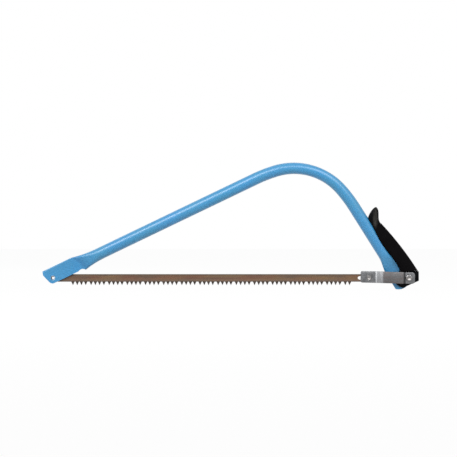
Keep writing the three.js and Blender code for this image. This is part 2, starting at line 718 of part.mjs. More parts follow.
function leverGrip() {
  const { foot, length, back, front, half } = gripProfiles();
  const rings = [];
  for (let i = 0; i <= GRIP_STEPS; i += 1) {
    const t = 1 - i / GRIP_STEPS;
    rings.push(gripSection(back(t), front(t), half(t), foot + (1 - t) * length));
  }
  const below = new THREE.BoxGeometry(4 * GRIP_TOP, 2 * GRIP_TOP, 2 * GRIP_TOP);
  below.translate(fulcrum.x, 0, fulcrum.y + gripFloor - GRIP_TOP);
  const pocket = slab(tangShape(SEAT_GAP), TANG_WIDTH + 2 * SEAT_GAP);
  const body = onLever(loft(rings))
    .subtract(solid(below))
    .subtract(tubeRoom())
    .subtract(onLever(pocket));
  return piece('lever_grip', body, blackMatte());
}

// Horn above the sleeve: its front runs by the tube, then turns back to a rounded tip
const hornBase = GRIP_TOP + SEAT_GAP;
const hornBack = (t) => lerp(HORN_WAIST, HORN_TIP, smoothstep(t, HORN_WAIST_SHARE, HORN_TIP_SHARE));
const hornHalf = (t) => lerp(HORN_WIDTH, HORN_TIP_WIDTH, t ** 2) / 2;

function hornFront(t) {
  const turn = Math.max(0, (t - HORN_SHOULDER) / (1 - HORN_SHOULDER));
  return lerp(GRIP_NECK_LIP, HORN_LIP, t) + (HORN_TIP - HORN_BROW - HORN_LIP) * turn ** 2;
}

function hornRings() {
  const rings = [];
  for (let i = 0; i <= HORN_STEPS; i += 1) {
    const t = Math.sin((Math.PI / 2) * (i / HORN_STEPS));
    const height = lerp(hornBase, HORN_TOP, t);
    const over = Math.max(0, 1 - (HORN_TOP - height) / HORN_TIP_ROUND);
    const drawn = HORN_TIP_ROUND * (1 - Math.sqrt(1 - over ** 2));
    rings.push(gripSection(hornBack(t) - drawn, hornFront(t) + drawn, hornHalf(t) - drawn, height));
  }
  return rings;
}

// A long scoop in one side of the horn, along its middle
function hornDish(side) {
  const height = HORN_TOP - HORN_DISH_BELOW;
  const share = (height - hornBase) / (HORN_TOP - hornBase);
  const middle = (t) => (hornBack(t) + hornFront(t)) / 2;
  const lean = Math.atan2(middle(1) - middle(0), HORN_TOP - hornBase);
  const dish = new THREE.SphereGeometry(1, DISH_SIDES, DISH_SIDES);
  dish.scale(HORN_DISH_WIDTH / 2, HORN_DISH_LENGTH / 2, 2 * HORN_DISH_DEPTH).rotateZ(-lean);
  return dish.translate(middle(share), height, side * (hornHalf(share) + HORN_DISH_DEPTH));
}

function leverCore() {
  const foot = slab(footShape(), FOOT_WIDTH, { edge: FOOT_EDGE });
  const tang = slab(tangShape(0), TANG_WIDTH);
  const shank = FULCRUM_SHANK / 2 + SEAT_GAP;
  const eye = RIVET_SHANK / 2 + SEAT_GAP;
  const neck = footHalf - FULCRUM_HEAD_DEPTH - SEAT_GAP;
  const heelTop = forkHalf + RIVET_FOOT_DEPTH + SEAT_GAP;
  const atFulcrum = (bar) => solid(bar.translate(fulcrum.x, 0, fulcrum.y));
  const atLink = (bar) => solid(bar.translate(linkPivot.x, 0, linkPivot.y));
  let body = onLever(loft(hornRings()))
    .add(onLever(foot))
    .add(onLever(tang))
    .subtract(forkRoom())
    .subtract(tubeRoom())
    .subtract(atFulcrum(crossBar(shank, -FOOT_WIDTH, FOOT_WIDTH)))
    .subtract(atLink(crossBar(eye, -FOOT_WIDTH, FOOT_WIDTH)));
  for (const side of [-1, 1]) {
    const turn = side < 0 ? Math.PI : 0;
    const sink = crossBar(shank, neck, footHalf, FULCRUM_HEAD / 2 + SEAT_GAP);
    const heel = crossBar(RIVET_FOOT / 2 + SEAT_GAP, forkHalf, heelTop, eye);
    body = body
      .subtract(atFulcrum(sink.rotateX(turn)))
      .subtract(atLink(heel.rotateX(turn)))
      .subtract(onLever(hornDish(side)));
  }
  return piece('lever_core', body, blackGloss());
}

// The saw, moved so that its origin is under the middle of its length, level with its lowest point
const saw = new THREE.Group();
saw.add(
  frameTube(),
  nosePinPiece(),
  sawBlade(),
  leverCore(),
  leverGrip(),
  fulcrumPin(),
  linkPlate('link_plate_near', -1),
  linkPlate('link_plate_far', 1),
  bladePegPiece(),
  linkRivet('link_rivet_near', -1),
  linkRivet('link_rivet_far', 1),
);
const box = new THREE.Box3().setFromObject(saw);
saw.position.set(-(box.min.x + box.max.x) / 2, 0, -box.min.z);

export default saw;
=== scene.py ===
# %% [markdown]
# # A bow saw, dressed piece by piece
# A bow saw is a bent steel tube that holds a thin toothed blade tight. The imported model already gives
# every piece its place and its motion. Here each piece is made again with finer curves and gets a
# finish of its own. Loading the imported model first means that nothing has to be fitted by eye.

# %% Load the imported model
from contextlib import contextmanager
from math import acos, asin, atan2, ceil, copysign, cos, degrees, hypot, pi, radians, sin, sqrt

import bmesh
import bpy
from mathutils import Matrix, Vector


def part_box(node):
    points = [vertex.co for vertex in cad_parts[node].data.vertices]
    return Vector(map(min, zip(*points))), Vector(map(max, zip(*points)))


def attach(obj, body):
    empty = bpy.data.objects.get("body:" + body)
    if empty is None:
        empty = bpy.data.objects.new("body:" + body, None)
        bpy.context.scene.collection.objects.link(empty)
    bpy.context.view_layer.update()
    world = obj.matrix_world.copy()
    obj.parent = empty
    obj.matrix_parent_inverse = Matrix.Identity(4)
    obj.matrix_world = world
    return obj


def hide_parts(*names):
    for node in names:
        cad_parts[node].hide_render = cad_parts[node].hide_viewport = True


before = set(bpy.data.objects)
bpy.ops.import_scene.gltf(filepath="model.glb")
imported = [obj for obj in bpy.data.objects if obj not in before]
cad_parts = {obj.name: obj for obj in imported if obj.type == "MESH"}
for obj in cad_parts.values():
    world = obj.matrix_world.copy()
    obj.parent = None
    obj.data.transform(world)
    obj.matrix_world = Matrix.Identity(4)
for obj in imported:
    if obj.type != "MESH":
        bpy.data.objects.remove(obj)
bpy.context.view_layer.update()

print("packed pieces:", ", ".join(sorted(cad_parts)))

# %% [markdown]
# ## Pivots
# Four pins carry everything: the nose pin, the peg of the blade, the rivets of the link and the
# fulcrum of the lever. Their places could be typed in again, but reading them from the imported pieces
# keeps both models together. Sizes below are millimetres, and a plane point is written (x, z),
# because the saw lies in the upright plane y = 0.

# %% Read the pivots
MM = 0.001


def pivot(node):
    """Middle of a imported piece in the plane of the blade, in millimetres."""
    low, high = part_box(node)
    return Vector((low.x + high.x, low.z + high.z)) / (2 * MM)


nose_pivot = pivot("nose_pin")
peg_pivot = pivot("blade_peg")
link_pivot = pivot("link_rivet_near")
fulcrum = pivot("fulcrum_pin")
pivots = {"nose": nose_pivot, "peg": peg_pivot, "link": link_pivot, "fulcrum": fulcrum}
for label, place in pivots.items():
    print(f"{label} pivot at x {place.x:.1f}, z {place.y:.1f} mm")

# %% [markdown]
# ## Small helpers for meshes
# Flat bars, turned pins and swept bodies all start as rings of points. One function joins rings into
# a closed skin, and the others only lay out the rings. Cuts and unions use the Boolean modifier,
# whose exact solver keeps closed bodies closed, and each result is settled into a plain mesh.

# %% Directions and easing


def heading(angle):
    """Unit vector of an angle in the plane of the blade."""
    return Vector((cos(angle), sin(angle)))


def lerp(a, b, share):
    return a + (b - a) * share


def shares(steps):
    """Even steps from 0 to 1, both included."""
    return [k / steps for k in range(steps + 1)]


def ease(share):
    """Runs from 0 to 1 with a gentle start and end."""
    share = min(1, max(0, share))
    return share * share * (3 - 2 * share)


print("a quarter, eased:", round(ease(0.25), 3))

# %% Skins from rings
WELD = 1e-6


def show(name, data):
    """Puts a mesh, lamp or camera into the scene as an object at the origin."""
    piece = bpy.data.objects.new(name, data)
    bpy.context.scene.collection.objects.link(piece)
    return piece


@contextmanager
def reshaped(mesh):
    """Opens a mesh for changes to its points and faces, and writes them back."""
    shape = bmesh.new()
    shape.from_mesh(mesh)
    yield shape
    shape.to_mesh(mesh)
    shape.free()


def new_piece(name, points, faces):
    """A closed mesh object from points in millimetres, with its faces turned outwards."""
    mesh = bpy.data.meshes.new(name)
    mesh.from_pydata([Vector(point) * MM for point in points], [], faces)
    with reshaped(mesh) as shape:
        bmesh.ops.remove_doubles(shape, verts=shape.verts, dist=WELD)
        bmesh.ops.recalc_face_normals(shape, faces=shape.faces)
    return show(name, mesh)


def lofted(name, rings, capped=True):
    """Joins rings of equal counts into a skin, closed at both ends."""
    count = len(rings[0])
    points = [point for ring in rings for point in ring]
    faces = []
    for i in range(len(rings) - 1):
        for k in range(count):
            a, b = i * count + k, i * count + (k + 1) % count
            faces.append((a, b, b + count, a + count))
    if capped:
        faces.append(range(count))
        faces.append(range(len(points) - count, len(points)))
    return new_piece(name, points, faces)


print("points are welded within", WELD / MM, "mm")

# %% Bars, arcs and turned bodies


def slab(name, outline, low, high):
    """A flat bar with an outline of (x, z) points, from one y to another."""
    return lofted(name, [[(x, y, z) for x, z in outline] for y in (low, high)])


def arc(centre, radius, start, end, steps=24):
    """Points of an arc about an (x, z) centre, from one angle to another."""
    turns = [lerp(start, end, share) for share in shares(steps)]
    return [(centre[0] + radius * cos(t), centre[1] + radius * sin(t)) for t in turns]


def turned(name, profile, place, sides=64):
    """A body turned about an axis across the saw; the profile holds (radius, y) points."""
    turns = [2 * pi * k / sides for k in range(sides)]
    rings = [[(place.x + r * cos(t), y, place.y + r * sin(t)) for t in turns]
             for r, y in profile]
    return lofted(name, rings, capped=False)


def bar(radius, place, reach=40):
    """A round cutter across the whole saw."""
    return turned("cutter", [(0, -reach), (radius, -reach), (radius, reach), (0, reach)], place)


print("points of a quarter arc:", len(arc((0, 0), 1, 0, pi / 2)))

# %% Modifiers that are settled at once


def settle(piece):
    """Makes what the modifiers give the piece's own plain mesh."""
    graph = bpy.context.evaluated_depsgraph_get()
    made = bpy.data.meshes.new_from_object(piece.evaluated_get(graph))
    piece.modifiers.clear()
    piece.data = made
    made.name = piece.name
    return piece


def carve(piece, *cutters, operation="DIFFERENCE"):
    """Cuts other bodies away from a piece, or joins them to it."""
    for cutter in cutters:
        step = piece.modifiers.new("carve", "BOOLEAN")
        step.object = cutter
        step.operation = operation
        step.solver = "EXACT"
        settle(piece)
        bpy.data.objects.remove(cutter)
    return piece


def round_edges(piece, width, steps=2, above=40):
    """Breaks the edges that are sharper than an angle, as filing or tumbling does."""
    step = piece.modifiers.new("round edges", "BEVEL")
    step.width = width * MM
    step.segments = steps
    step.limit_method = "ANGLE"
    step.angle_limit = radians(above)
    return settle(piece)


def thicken(piece, thickness, offset):
    """Makes an open skin a sheet, outwards from it or inwards."""
    step = piece.modifiers.new("sheet", "SOLIDIFY")
    step.thickness = thickness * MM
    step.offset = offset
    step.use_even_offset = True
    return settle(piece)


OUTWARDS, INWARDS = 1, -1
print("modifier helpers ready")

# %% Shading and seating


def smooth(piece, sharp=35):
    """Shades curved faces softly and keeps real corners sharp."""
    piece.data.shade_smooth()
    piece.data.set_sharp_from_angle(angle=radians(sharp))
    return piece


def seat(piece, body, slot, finish, *nodes):
    """Gives a finished piece its material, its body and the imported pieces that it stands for."""
    piece.data.materials.clear()
    piece.data.materials.append(finish)
    for face in piece.data.polygons:
        face.material_index = 0
    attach(piece, body)
    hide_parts(*nodes)
    size = ", ".join(f"{length / MM:.1f}" for length in piece.dimensions)
    print(f"{piece.name}: {len(piece.data.polygons)} faces, {size} mm")


print("seating helpers ready")

# %% [markdown]
# ## Node helpers
# Both the shapes and the finishes use node trees. Placing nodes by hand takes many lines, so one
# helper adds a node and feeds its inputs in order, and another opens a tree with named inputs.

# %% Nodes and sums


def wire(tree, kind, *values, out=0, **settings):
    """Adds a node, sets it up and feeds its inputs in order; gives one of its outputs."""
    node = tree.nodes.new(kind)
    for name, value in settings.items():
        setattr(node, name, value)
    for socket, value in zip([s for s in node.inputs if s.enabled], values):
        if isinstance(value, bpy.types.NodeSocket):
            tree.links.new(value, socket)
        elif value is not None:
            socket.default_value = value
    return [s for s in node.outputs if s.enabled][out]


def calc(tree, operation, *values):
    """A sum on numbers."""
    return wire(tree, "ShaderNodeMath", *values, operation=operation)


def times(tree, first, second):
    return calc(tree, "MULTIPLY", first, second)


def arrow_calc(tree, operation, *values):
    """A sum on vectors."""
    return wire(tree, "ShaderNodeVectorMath", *values, operation=operation)


print("node helpers ready")

# %% Trees with named inputs


def new_tree(name, kind, inputs, outputs):
    """A node tree with named inputs and outputs; gives the tree and its two ends."""
    tree = bpy.data.node_groups.new(name, kind)
    for label, socket in inputs.items():
        tree.interface.new_socket(label, in_out="INPUT", socket_type=socket)
    for label, socket in outputs.items():
        tree.interface.new_socket(label, in_out="OUTPUT", socket_type=socket)
    given = tree.nodes.new("NodeGroupInput").outputs
    result = tree.nodes.new("NodeGroupOutput").inputs
    return tree, given, result


def grow(piece, tree, values):
    """Runs a geometry tree on a piece and settles what it makes."""
    step = piece.modifiers.new(tree.name, "NODES")
    step.node_group = tree
    for item in tree.interface.items_tree:
        if item.in_out == "INPUT" and item.name in values:
            step[item.identifier] = values[item.name]
    return settle(piece)


NUMBER, WHOLE, ARROW = "NodeSocketFloat", "NodeSocketInt", "NodeSocketVector"
SHAPE, COAT, THING = "NodeSocketGeometry", "NodeSocketMaterial", "NodeSocketObject"
print("tree helpers ready")

# %% [markdown]
# ## Effects that several finishes share
# No surface on a used saw is one even colour. *Mottle* gives soft uneven patches, drawn out along any
# direction. *Near a spot* marks the surroundings of a point, where handling leaves traces. *Grain* is
# a fine unevenness of the surface itself. Each is a node group, so that every finish can use it with
# its own sizes, and all of them read Object coordinates, which stay with the piece when it moves.

# %% Mottle, spot and grain
CLOUD_ROUGHNESS, GRAIN_DETAIL, GRAIN_ROUGHNESS = 0.55, 3.0, 0.6
mottle, given, result = new_tree(
    "Mottle", "ShaderNodeTree",
    {"Vector": ARROW, "Squeeze": ARROW, "Scale": NUMBER, "Detail": NUMBER, "Width": NUMBER},
    {"Mask": NUMBER})
drawn = arrow_calc(mottle, "MULTIPLY", given["Vector"], given["Squeeze"])
cloud = wire(mottle, "ShaderNodeTexNoise", drawn, given["Scale"], given["Detail"], CLOUD_ROUGHNESS)
low = calc(mottle, "SUBTRACT", 0.5, given["Width"])
high = calc(mottle, "ADD", 0.5, given["Width"])
mottle.links.new(wire(mottle, "ShaderNodeMapRange", cloud, low, high, 0.0, 1.0), result["Mask"])

near_spot, given, result = new_tree(
    "Near a spot", "ShaderNodeTree",
    {"Vector": ARROW, "Spot": ARROW, "Near": NUMBER, "Far": NUMBER}, {"Mask": NUMBER})
away = arrow_calc(near_spot, "DISTANCE", given["Vector"], given["Spot"])
fading = wire(near_spot, "ShaderNodeMapRange", away, given["Near"], given["Far"], 1.0, 0.0,
              interpolation_type="SMOOTHSTEP")
near_spot.links.new(fading, result["Mask"])

grain, given, result = new_tree(
    "Grain", "ShaderNodeTree",
    {"Vector": ARROW, "Squeeze": ARROW, "Scale": NUMBER, "Depth": NUMBER}, {"Normal": ARROW})
drawn = arrow_calc(grain, "MULTIPLY", given["Vector"], given["Squeeze"])
cloud = wire(grain, "ShaderNodeTexNoise", drawn, given["Scale"], GRAIN_DETAIL, GRAIN_ROUGHNESS)
tilt = wire(grain, "ShaderNodeBump", 1.0, given["Depth"], None, cloud)
grain.links.new(tilt, result["Normal"])
print("shared effects:", mottle.name, near_spot.name, grain.name)

# %% Colours, effects and layers
EVEN = (1.0, 1.0, 1.0)


def ink(red, green, blue):
    """A colour as a screen shows it, turned into the linear values that shaders use."""
    def linear(level):
        level /= 255
        return level / 12.92 if level <= 0.04045 else ((level + 0.055) / 1.055) ** 2.4
    return (linear(red), linear(green), linear(blue), 1.0)


def effect(tree, group, coords, **values):
    """Places a shared effect in a material and sets its named inputs; unsqueezed unless told."""
    node = tree.nodes.new("ShaderNodeGroup")
    node.node_tree = group
    tree.links.new(coords, node.inputs["Vector"])
    for label, value in {"Squeeze": EVEN, **values}.items():
        if label in node.inputs:
            node.inputs[label].default_value = value
    return node.outputs[0]


def layered(tree, colour, *layers):
    """Lays colours over the first one, each where its mask says so and by its share."""
    for mask, over, share in layers:
        mask = times(tree, mask, share)
        colour = wire(tree, "ShaderNodeMix", mask, colour, over, data_type="RGBA")
    return colour


print("a middle grey in linear values:", round(ink(128, 128, 128)[0], 3))

# %% Ranges, distances and new finishes


def span(tree, value, low, high, start=0.0, end=1.0):
    """Spreads a value between two limits over another range, and stops at its ends."""
    return wire(tree, "ShaderNodeMapRange", value, low, high, start, end)


def reach(tree, coords, arrow, start):
    """How far a point lies from a start along a direction in the plane of the blade, in metres."""
    run = arrow_calc(tree, "DOT_PRODUCT", coords, (arrow.x, 0.0, arrow.y))
    return calc(tree, "SUBTRACT", run, start.dot(arrow) * MM)


def new_finish(name, **uniform):
    """A material with a single Principled shader; uniform values go straight to its sockets."""
    finish = bpy.data.materials.new(name)
    finish.use_nodes = True
    tree = finish.node_tree
    shader = tree.nodes["Principled BSDF"]
    for label, value in uniform.items():
        shader.inputs[label.replace("_", " ")].default_value = value
    coords = tree.nodes.new("ShaderNodeTexCoord").outputs["Object"]

    def feed(**links):
        for label, socket in links.items():
            tree.links.new(socket, shader.inputs[label.replace("_", " ")])
    return finish, tree, coords, feed


print("finish helpers ready")

# %% [markdown]
# ## Blue enamel
# The tube is enamelled in a clear mid blue. Stove enamel is glossy but never quite flat: it shows a
# slight orange peel and soft patches. Shade is painted in as well: a dark band on the ramp behind the
# crease of the nose, and dark blotches around the lever's foot, where the link and the lever shade the
# tail. A layered paint shader could be built by hand; the Principled shader with a thin coat does the
# same with less.

# %% The nose, as the finishes need it
TUBE_RADIUS, PRESSED_HALF = 9.88, 1.98
PRESSED_REACH = PRESSED_HALF + pi / 2 * (TUBE_RADIUS - PRESSED_HALF)
UPPER_ANGLE, PIN_RISE, SLOT_EDGE = radians(25.66), 2.8, 11.3
NOSE_FLAT, RAMP_SKEW, RAMP_BOW = 50.6, 0.43, 3.1
nose_along, nose_up = heading(UPPER_ANGLE), heading(UPPER_ANGLE + pi / 2)
axis_at_pin = nose_pivot + nose_up * PIN_RISE
print("half of the pressed nose:", round(PRESSED_REACH, 1), "mm")

# %% Blue enamel
blue_enamel, tree, coords, feed = new_finish(
    "blue_enamel", Coat_Weight=1.0, Coat_Roughness=0.36, IOR=1.45, Specular_IOR_Level=0.3)
patches = effect(tree, mottle, coords, Scale=26.0, Detail=3.0, Width=0.2)
clouds = effect(tree, mottle, coords, Scale=9.0, Detail=2.0, Width=0.18)
# Painted shade: the ramp behind the crease of the nose is darkened next to the crease and fades away
# from it.
CREASE_SHADE_EDGE, CREASE_SHADE_END = 0.8, 15.0
across = reach(tree, coords, nose_up, axis_at_pin)
part_across = calc(tree, "DIVIDE", across, PRESSED_REACH * MM)
bowed = times(tree, times(tree, part_across, part_across), RAMP_BOW * MM)
skewed = calc(tree, "ADD", times(tree, across, RAMP_SKEW), bowed)
past_flat = reach(tree, coords, nose_along, axis_at_pin + nose_along * NOSE_FLAT)
behind = calc(tree, "ADD", past_flat, skewed)
crease_shade = times(tree, span(tree, behind, 0.0, CREASE_SHADE_EDGE * MM),
               span(tree, behind, CREASE_SHADE_END * MM, CREASE_SHADE_EDGE * MM))
# Painted shade: blotchy darkening of the tail around the lever's foot, where the link and the lever
# shade it.
FOOT_SHADE_FROM_FULCRUM, FOOT_SHADE_NEAR, FOOT_SHADE_FAR = (-13.0, -10.0, 19.0), 2.0, 14.0
foot_shade_spot = Vector((fulcrum.x, 0, fulcrum.y)) + Vector(FOOT_SHADE_FROM_FULCRUM)
painted_light = effect(tree, near_spot, coords,
                Spot=foot_shade_spot * MM, Near=FOOT_SHADE_NEAR * MM, Far=FOOT_SHADE_FAR * MM)
blotches = effect(tree, mottle, coords, Scale=260.0, Detail=2.0, Width=0.12)
paint = layered(
    tree, ink(32, 124, 176),
    (patches, ink(44, 128, 166), 1.0), (clouds, ink(52, 124, 176), 0.5),
    (crease_shade, ink(4, 98, 152), 0.5), (times(tree, painted_light, blotches), ink(38, 94, 142), 1.0))
gloss = span(tree, patches, 0.0, 1.0, 0.34, 0.44)
peel = effect(tree, grain, coords, Scale=120.0, Depth=0.004 * MM)
feed(Base_Color=paint, Roughness=gloss, Normal=peel)
print("finish:", blue_enamel.name)

# %% [markdown]
# ## Browned blade steel
# The blade is spring steel that has gone brown with use: olive and reddish patches are drawn out
# along the strokes, the top edge is darker and the hardened teeth are nearly black. Where the blade
# leaves the nose, the nose's shadow is painted on it as a dark band. Height over the blade is the Z of
# the Object coordinates, so the dark bands follow its edges without any map.

# %% Browned blade steel
BLADE_HALF = 6.2
blade_steel, tree, coords, feed = new_finish("blade_steel", Metallic=0.35, IOR=1.5)
ALONG = (0.12, 1.0, 1.0)
patches = effect(tree, mottle, coords, Squeeze=ALONG, Scale=150.0, Detail=2.5, Width=0.12)
reddening = effect(tree, mottle, coords, Squeeze=(0.16, 0.6, 0.6), Scale=100.0, Detail=2.0, Width=0.08)
streaks = effect(tree, mottle, coords, Squeeze=(0.02, 1.0, 1.0), Scale=900.0, Detail=2.0, Width=0.2)
TOP_BAND, LOW_BAND, TEETH_BAND, NOSE_SHADOW_DROP = (-2.6, -1.0), (4.5, 2.5), (2.1, -0.7), 4.5
height = wire(tree, "ShaderNodeSeparateXYZ", coords, out=2)
blade_top, blade_low = nose_pivot.y + BLADE_HALF, nose_pivot.y - BLADE_HALF
top_edge, low_edge, teeth = (
    span(tree, height, (edge + start) * MM, (edge + end) * MM)
    for edge, (start, end) in ((blade_top, TOP_BAND), (blade_low, LOW_BAND), (blade_low, TEETH_BAND)))
# Painted shadow of the nose on the blade, in a band just below the edge of the slot.
below_nose = reach(tree, coords, nose_up, axis_at_pin - nose_up * SLOT_EDGE)
nose_shadow = span(tree, below_nose, -NOSE_SHADOW_DROP * MM, 0.0)
steel = layered(
    tree, ink(96, 76, 62),
    (patches, ink(116, 90, 62), 1.0), (reddening, ink(110, 68, 54), 0.6),
    (streaks, ink(66, 52, 42), 0.35), (top_edge, ink(74, 62, 46), 0.85),
    (low_edge, ink(112, 98, 86), 0.35), (teeth, ink(48, 40, 34), 1.0), (nose_shadow, ink(36, 30, 26), 0.9))
dull = span(tree, patches, 0.0, 1.0, 0.42, 0.6)
fine_streaks = effect(tree, grain, coords, Squeeze=ALONG, Scale=1500.0, Depth=0.04 * MM)
feed(Base_Color=steel, Roughness=dull, Normal=fine_streaks)
print("finish:", blade_steel.name)

# %% [markdown]
# ## Steel of the link plates
# The plates are dull pressed steel, speckled in front and darker behind the flare. Light is painted
# on them too: a lighter sheen and a bright highlight where the sheet flares, brownish reflection
# streaks behind it, and shade in the step beside the rivet. A painted map would need an unwrapped
# mesh. The places are all bands along the saw, so bands of the X coordinate mark them just as well.

# %% Link steel
FLARE_START, FLARE_LENGTH, STEP_START, STEP_LENGTH = -54.8, 11.7, -8.7, 2.2
BEND_HIGHLIGHT_WIDTH, STEP_SHADE_MARGIN = 1.6, 0.6
link_steel, tree, coords, feed = new_finish("link_steel", Metallic=1.0)
run = wire(tree, "ShaderNodeSeparateXYZ", coords)


def band(tree, run, start, end, soft=0.6):
    """One between two places along the link, nought outside them."""
    start, end = link_pivot.x + start, link_pivot.x + end
    rising = span(tree, run, (start - soft) * MM, (start + soft) * MM)
    falling = span(tree, run, (end + soft) * MM, (end - soft) * MM)
    return times(tree, rising, falling)


stains = effect(tree, mottle, coords, Squeeze=(0.6, 1.0, 1.0), Scale=160.0, Detail=4.0, Width=0.16)
speckle = effect(tree, mottle, coords, Scale=620.0, Detail=2.0, Width=0.1)
behind = band(tree, run, FLARE_START + FLARE_LENGTH, STEP_START)
# Painted reflection: brownish streaks behind the flare stand in for the surroundings that the steel
# reflects there.
rust_and_reflection = effect(tree, mottle, coords, Squeeze=(0.1, 1.0, 1.0), Scale=420.0, Detail=3.0, Width=0.1)
# Painted reflection: the flare, which faces the left, is painted lighter in streaks, as if it reflected
# light from that side.
sheen_streaks = effect(tree, mottle, coords, Squeeze=(1.0, 0.1, 0.1), Scale=700.0, Detail=1.0, Width=0.2)
flare_sheen = layered(tree, ink(134, 135, 137), (sheen_streaks, ink(154, 155, 157), 1.0))
flared = band(tree, run, FLARE_START, FLARE_START + FLARE_LENGTH)
# Painted highlight along the first bend of the plate.
bend_highlight = band(tree, run, FLARE_START, FLARE_START + BEND_HIGHLIGHT_WIDTH, soft=0.4)
# Painted shade in the step beside the rivet, which faces away from the light.
step_shade = band(tree, run, STEP_START - STEP_SHADE_MARGIN, STEP_START + STEP_LENGTH + STEP_SHADE_MARGIN, soft=1.0)
metal = layered(
    tree, ink(132, 133, 135),
    (stains, ink(108, 109, 111), 1.0), (speckle, ink(82, 83, 84), 0.55),
    (behind, ink(86, 86, 87), 0.4), (times(tree, behind, rust_and_reflection), ink(108, 80, 70), 0.25),
    (flared, flare_sheen, 1.0), (bend_highlight, ink(188, 189, 191), 1.0), (step_shade, ink(44, 44, 45), 0.85))
feed(Base_Color=metal, Roughness=span(tree, stains, 0.0, 1.0, 0.4, 0.56),
     Normal=effect(tree, grain, coords, Scale=1200.0, Depth=0.03 * MM))
print("finish:", link_steel.name)

# %% [markdown]
# ## Steel of the rivets and pins
# The rivets and the peg are bright, and the pins are plain and darker. Both are metal with the same
# kind of stain, so one function makes them with different levels. On the nose pin, the low side of
# its bore, where light falls in, is painted pale as a highlight; a direction across the pin marks it
# well enough.

# %% Bare steel
LOW_SIDE, LOW_FROM, LOW_TO = Vector((0.8, -0.6)), -0.5, 2.2
LIT_NEAR, LIT_FAR = 4.0, 6.0


def bare_steel(name, clean, stained, rust_and_reflection, levels, scale, pale):
    """Metal that is stained in patches, with a faint rust along its length."""
    finish, tree, coords, feed = new_finish(name, Metallic=1.0)
    stains = effect(tree, mottle, coords, Squeeze=(0.6, 1.0, 1.0), Scale=scale, Detail=4.0, Width=0.16)
    blush = effect(tree, mottle, coords,
                   Squeeze=(0.25, 1.0, 1.0), Scale=scale * 0.6, Detail=2.0, Width=0.1)
    # Painted highlight: the low side of the nose pin's bore is painted pale, where light falls into it.
    low_side = reach(tree, coords, LOW_SIDE, nose_pivot)
    pin = Vector((nose_pivot.x, 0, nose_pivot.y)) * MM
    on_pin = effect(tree, near_spot, coords, Spot=pin, Near=LIT_NEAR * MM, Far=LIT_FAR * MM)
    lit_low_side = times(tree, on_pin, span(tree, low_side, LOW_FROM * MM, LOW_TO * MM))
    metal = layered(tree, clean, (stains, stained, 1.0), (blush, rust_and_reflection, 0.3), (lit_low_side, pale, 1.0))
    normal = effect(tree, grain, coords, Scale=1200.0, Depth=0.01 * MM)
    feed(Base_Color=metal, Roughness=span(tree, stains, 0.0, 1.0, *levels), Normal=normal)
    print("finish:", name)
    return finish


rivet_steel = bare_steel(
    "rivet_steel", clean=ink(154, 155, 156), stained=ink(112, 112, 112), rust_and_reflection=ink(124, 112, 104),
    levels=(0.26, 0.38), scale=420.0, pale=ink(158, 159, 160))
pin_steel = bare_steel(
    "pin_steel", clean=ink(96, 98, 102), stained=ink(66, 68, 70), rust_and_reflection=ink(84, 74, 66),
    levels=(0.3, 0.5), scale=380.0, pale=ink(150, 178, 200))

# %% [markdown]
# ## Black of the lever
# The sleeve is matt black and takes almost no light, while the lever's own horn and foot are glossy.
# Both are the same deep black; what parts them is how strongly and how sharply they reflect. On the
# horn's facet a grey sheen is painted in for its reflection, an oval that runs a little way down the
# sleeve.

# %% Black of the lever
FACET_MIDDLE, FACET_HALF, FACET_EDGE = (238.6, 0.0, 117.6), (4.3, 1e6, 16.2), (1.15, 0.6)


def black_plastic(name, deep, faded, levels, peel, **uniform):
    """A black that is a little uneven, with a painted grey sheen on the facet of the horn."""
    finish, tree, coords, feed = new_finish(name, **uniform)
    fading = effect(tree, mottle, coords, Scale=70.0, Detail=3.0, Width=0.2)
    # Painted sheen: an oval on the horn's facet is painted grey, in fine streaks, in place of its
    # reflection.
    from_facet = arrow_calc(tree, "SUBTRACT", coords, Vector(FACET_MIDDLE) * MM)
    in_halves = arrow_calc(tree, "DIVIDE", from_facet, Vector(FACET_HALF) * MM)
    painted_light = span(tree, arrow_calc(tree, "LENGTH", in_halves), *FACET_EDGE)
    fine_streaks = effect(tree, mottle, coords,
                       Squeeze=(1.0, 1.0, 0.2), Scale=420.0, Detail=3.0, Width=0.2)
    facet_sheen = layered(tree, ink(25, 24, 23), (fine_streaks, ink(57, 56, 53), 1.0))
    shade = layered(tree, deep, (fading, faded, 1.0), (painted_light, facet_sheen, 1.0))
    normal = effect(tree, grain, coords, Scale=900.0, Depth=peel)
    feed(Base_Color=shade, Roughness=span(tree, fading, 0.0, 1.0, *levels), Normal=normal)
    print("finish:", name)
    return finish


lever_gloss = black_plastic(
    "lever_gloss", deep=ink(6, 7, 8), faded=ink(12, 12, 14), levels=(0.22, 0.34), peel=0.006 * MM,
    Specular_IOR_Level=0.035)
grip_matte = black_plastic(
    "grip_matte", deep=ink(8, 7, 8), faded=ink(13, 12, 13), levels=(0.6, 0.75), peel=0.02 * MM,
    Specular_IOR_Level=0.02)

# %% [markdown]
# ## The bow: one drawn tube
# The bow is a 20 mm tube, bent once, and pressed flat at both ends. Pressing doesn't change the girth
# of the wall, so where the tube gets thinner it gets wider. A curve with a round bevel could give the
# bend but not the pressed ends. So a geometry tree skins a grid over stations: every station holds its
# place, its two directions and how far the tube is pressed there, and the tree works out each ring.

# %% Stations along the bow
REAR_ANGLE = radians(57.8)
LEVER_LEAN = pi / 2 - REAR_ANGLE
AXIS_SETBACK = 1.45
axis_at_fulcrum = fulcrum - heading(LEVER_LEAN) * AXIS_SETBACK
NOSE_OVERHANG, NOSE_RAMP, RAMP_POWER = 13.1, 42.0, 2.3
TAIL_LENGTH, TAIL_RAMP_START, TAIL_RAMP = 13.3, 22.0, 30.0
RAMP_STEPS = 32
stations = []


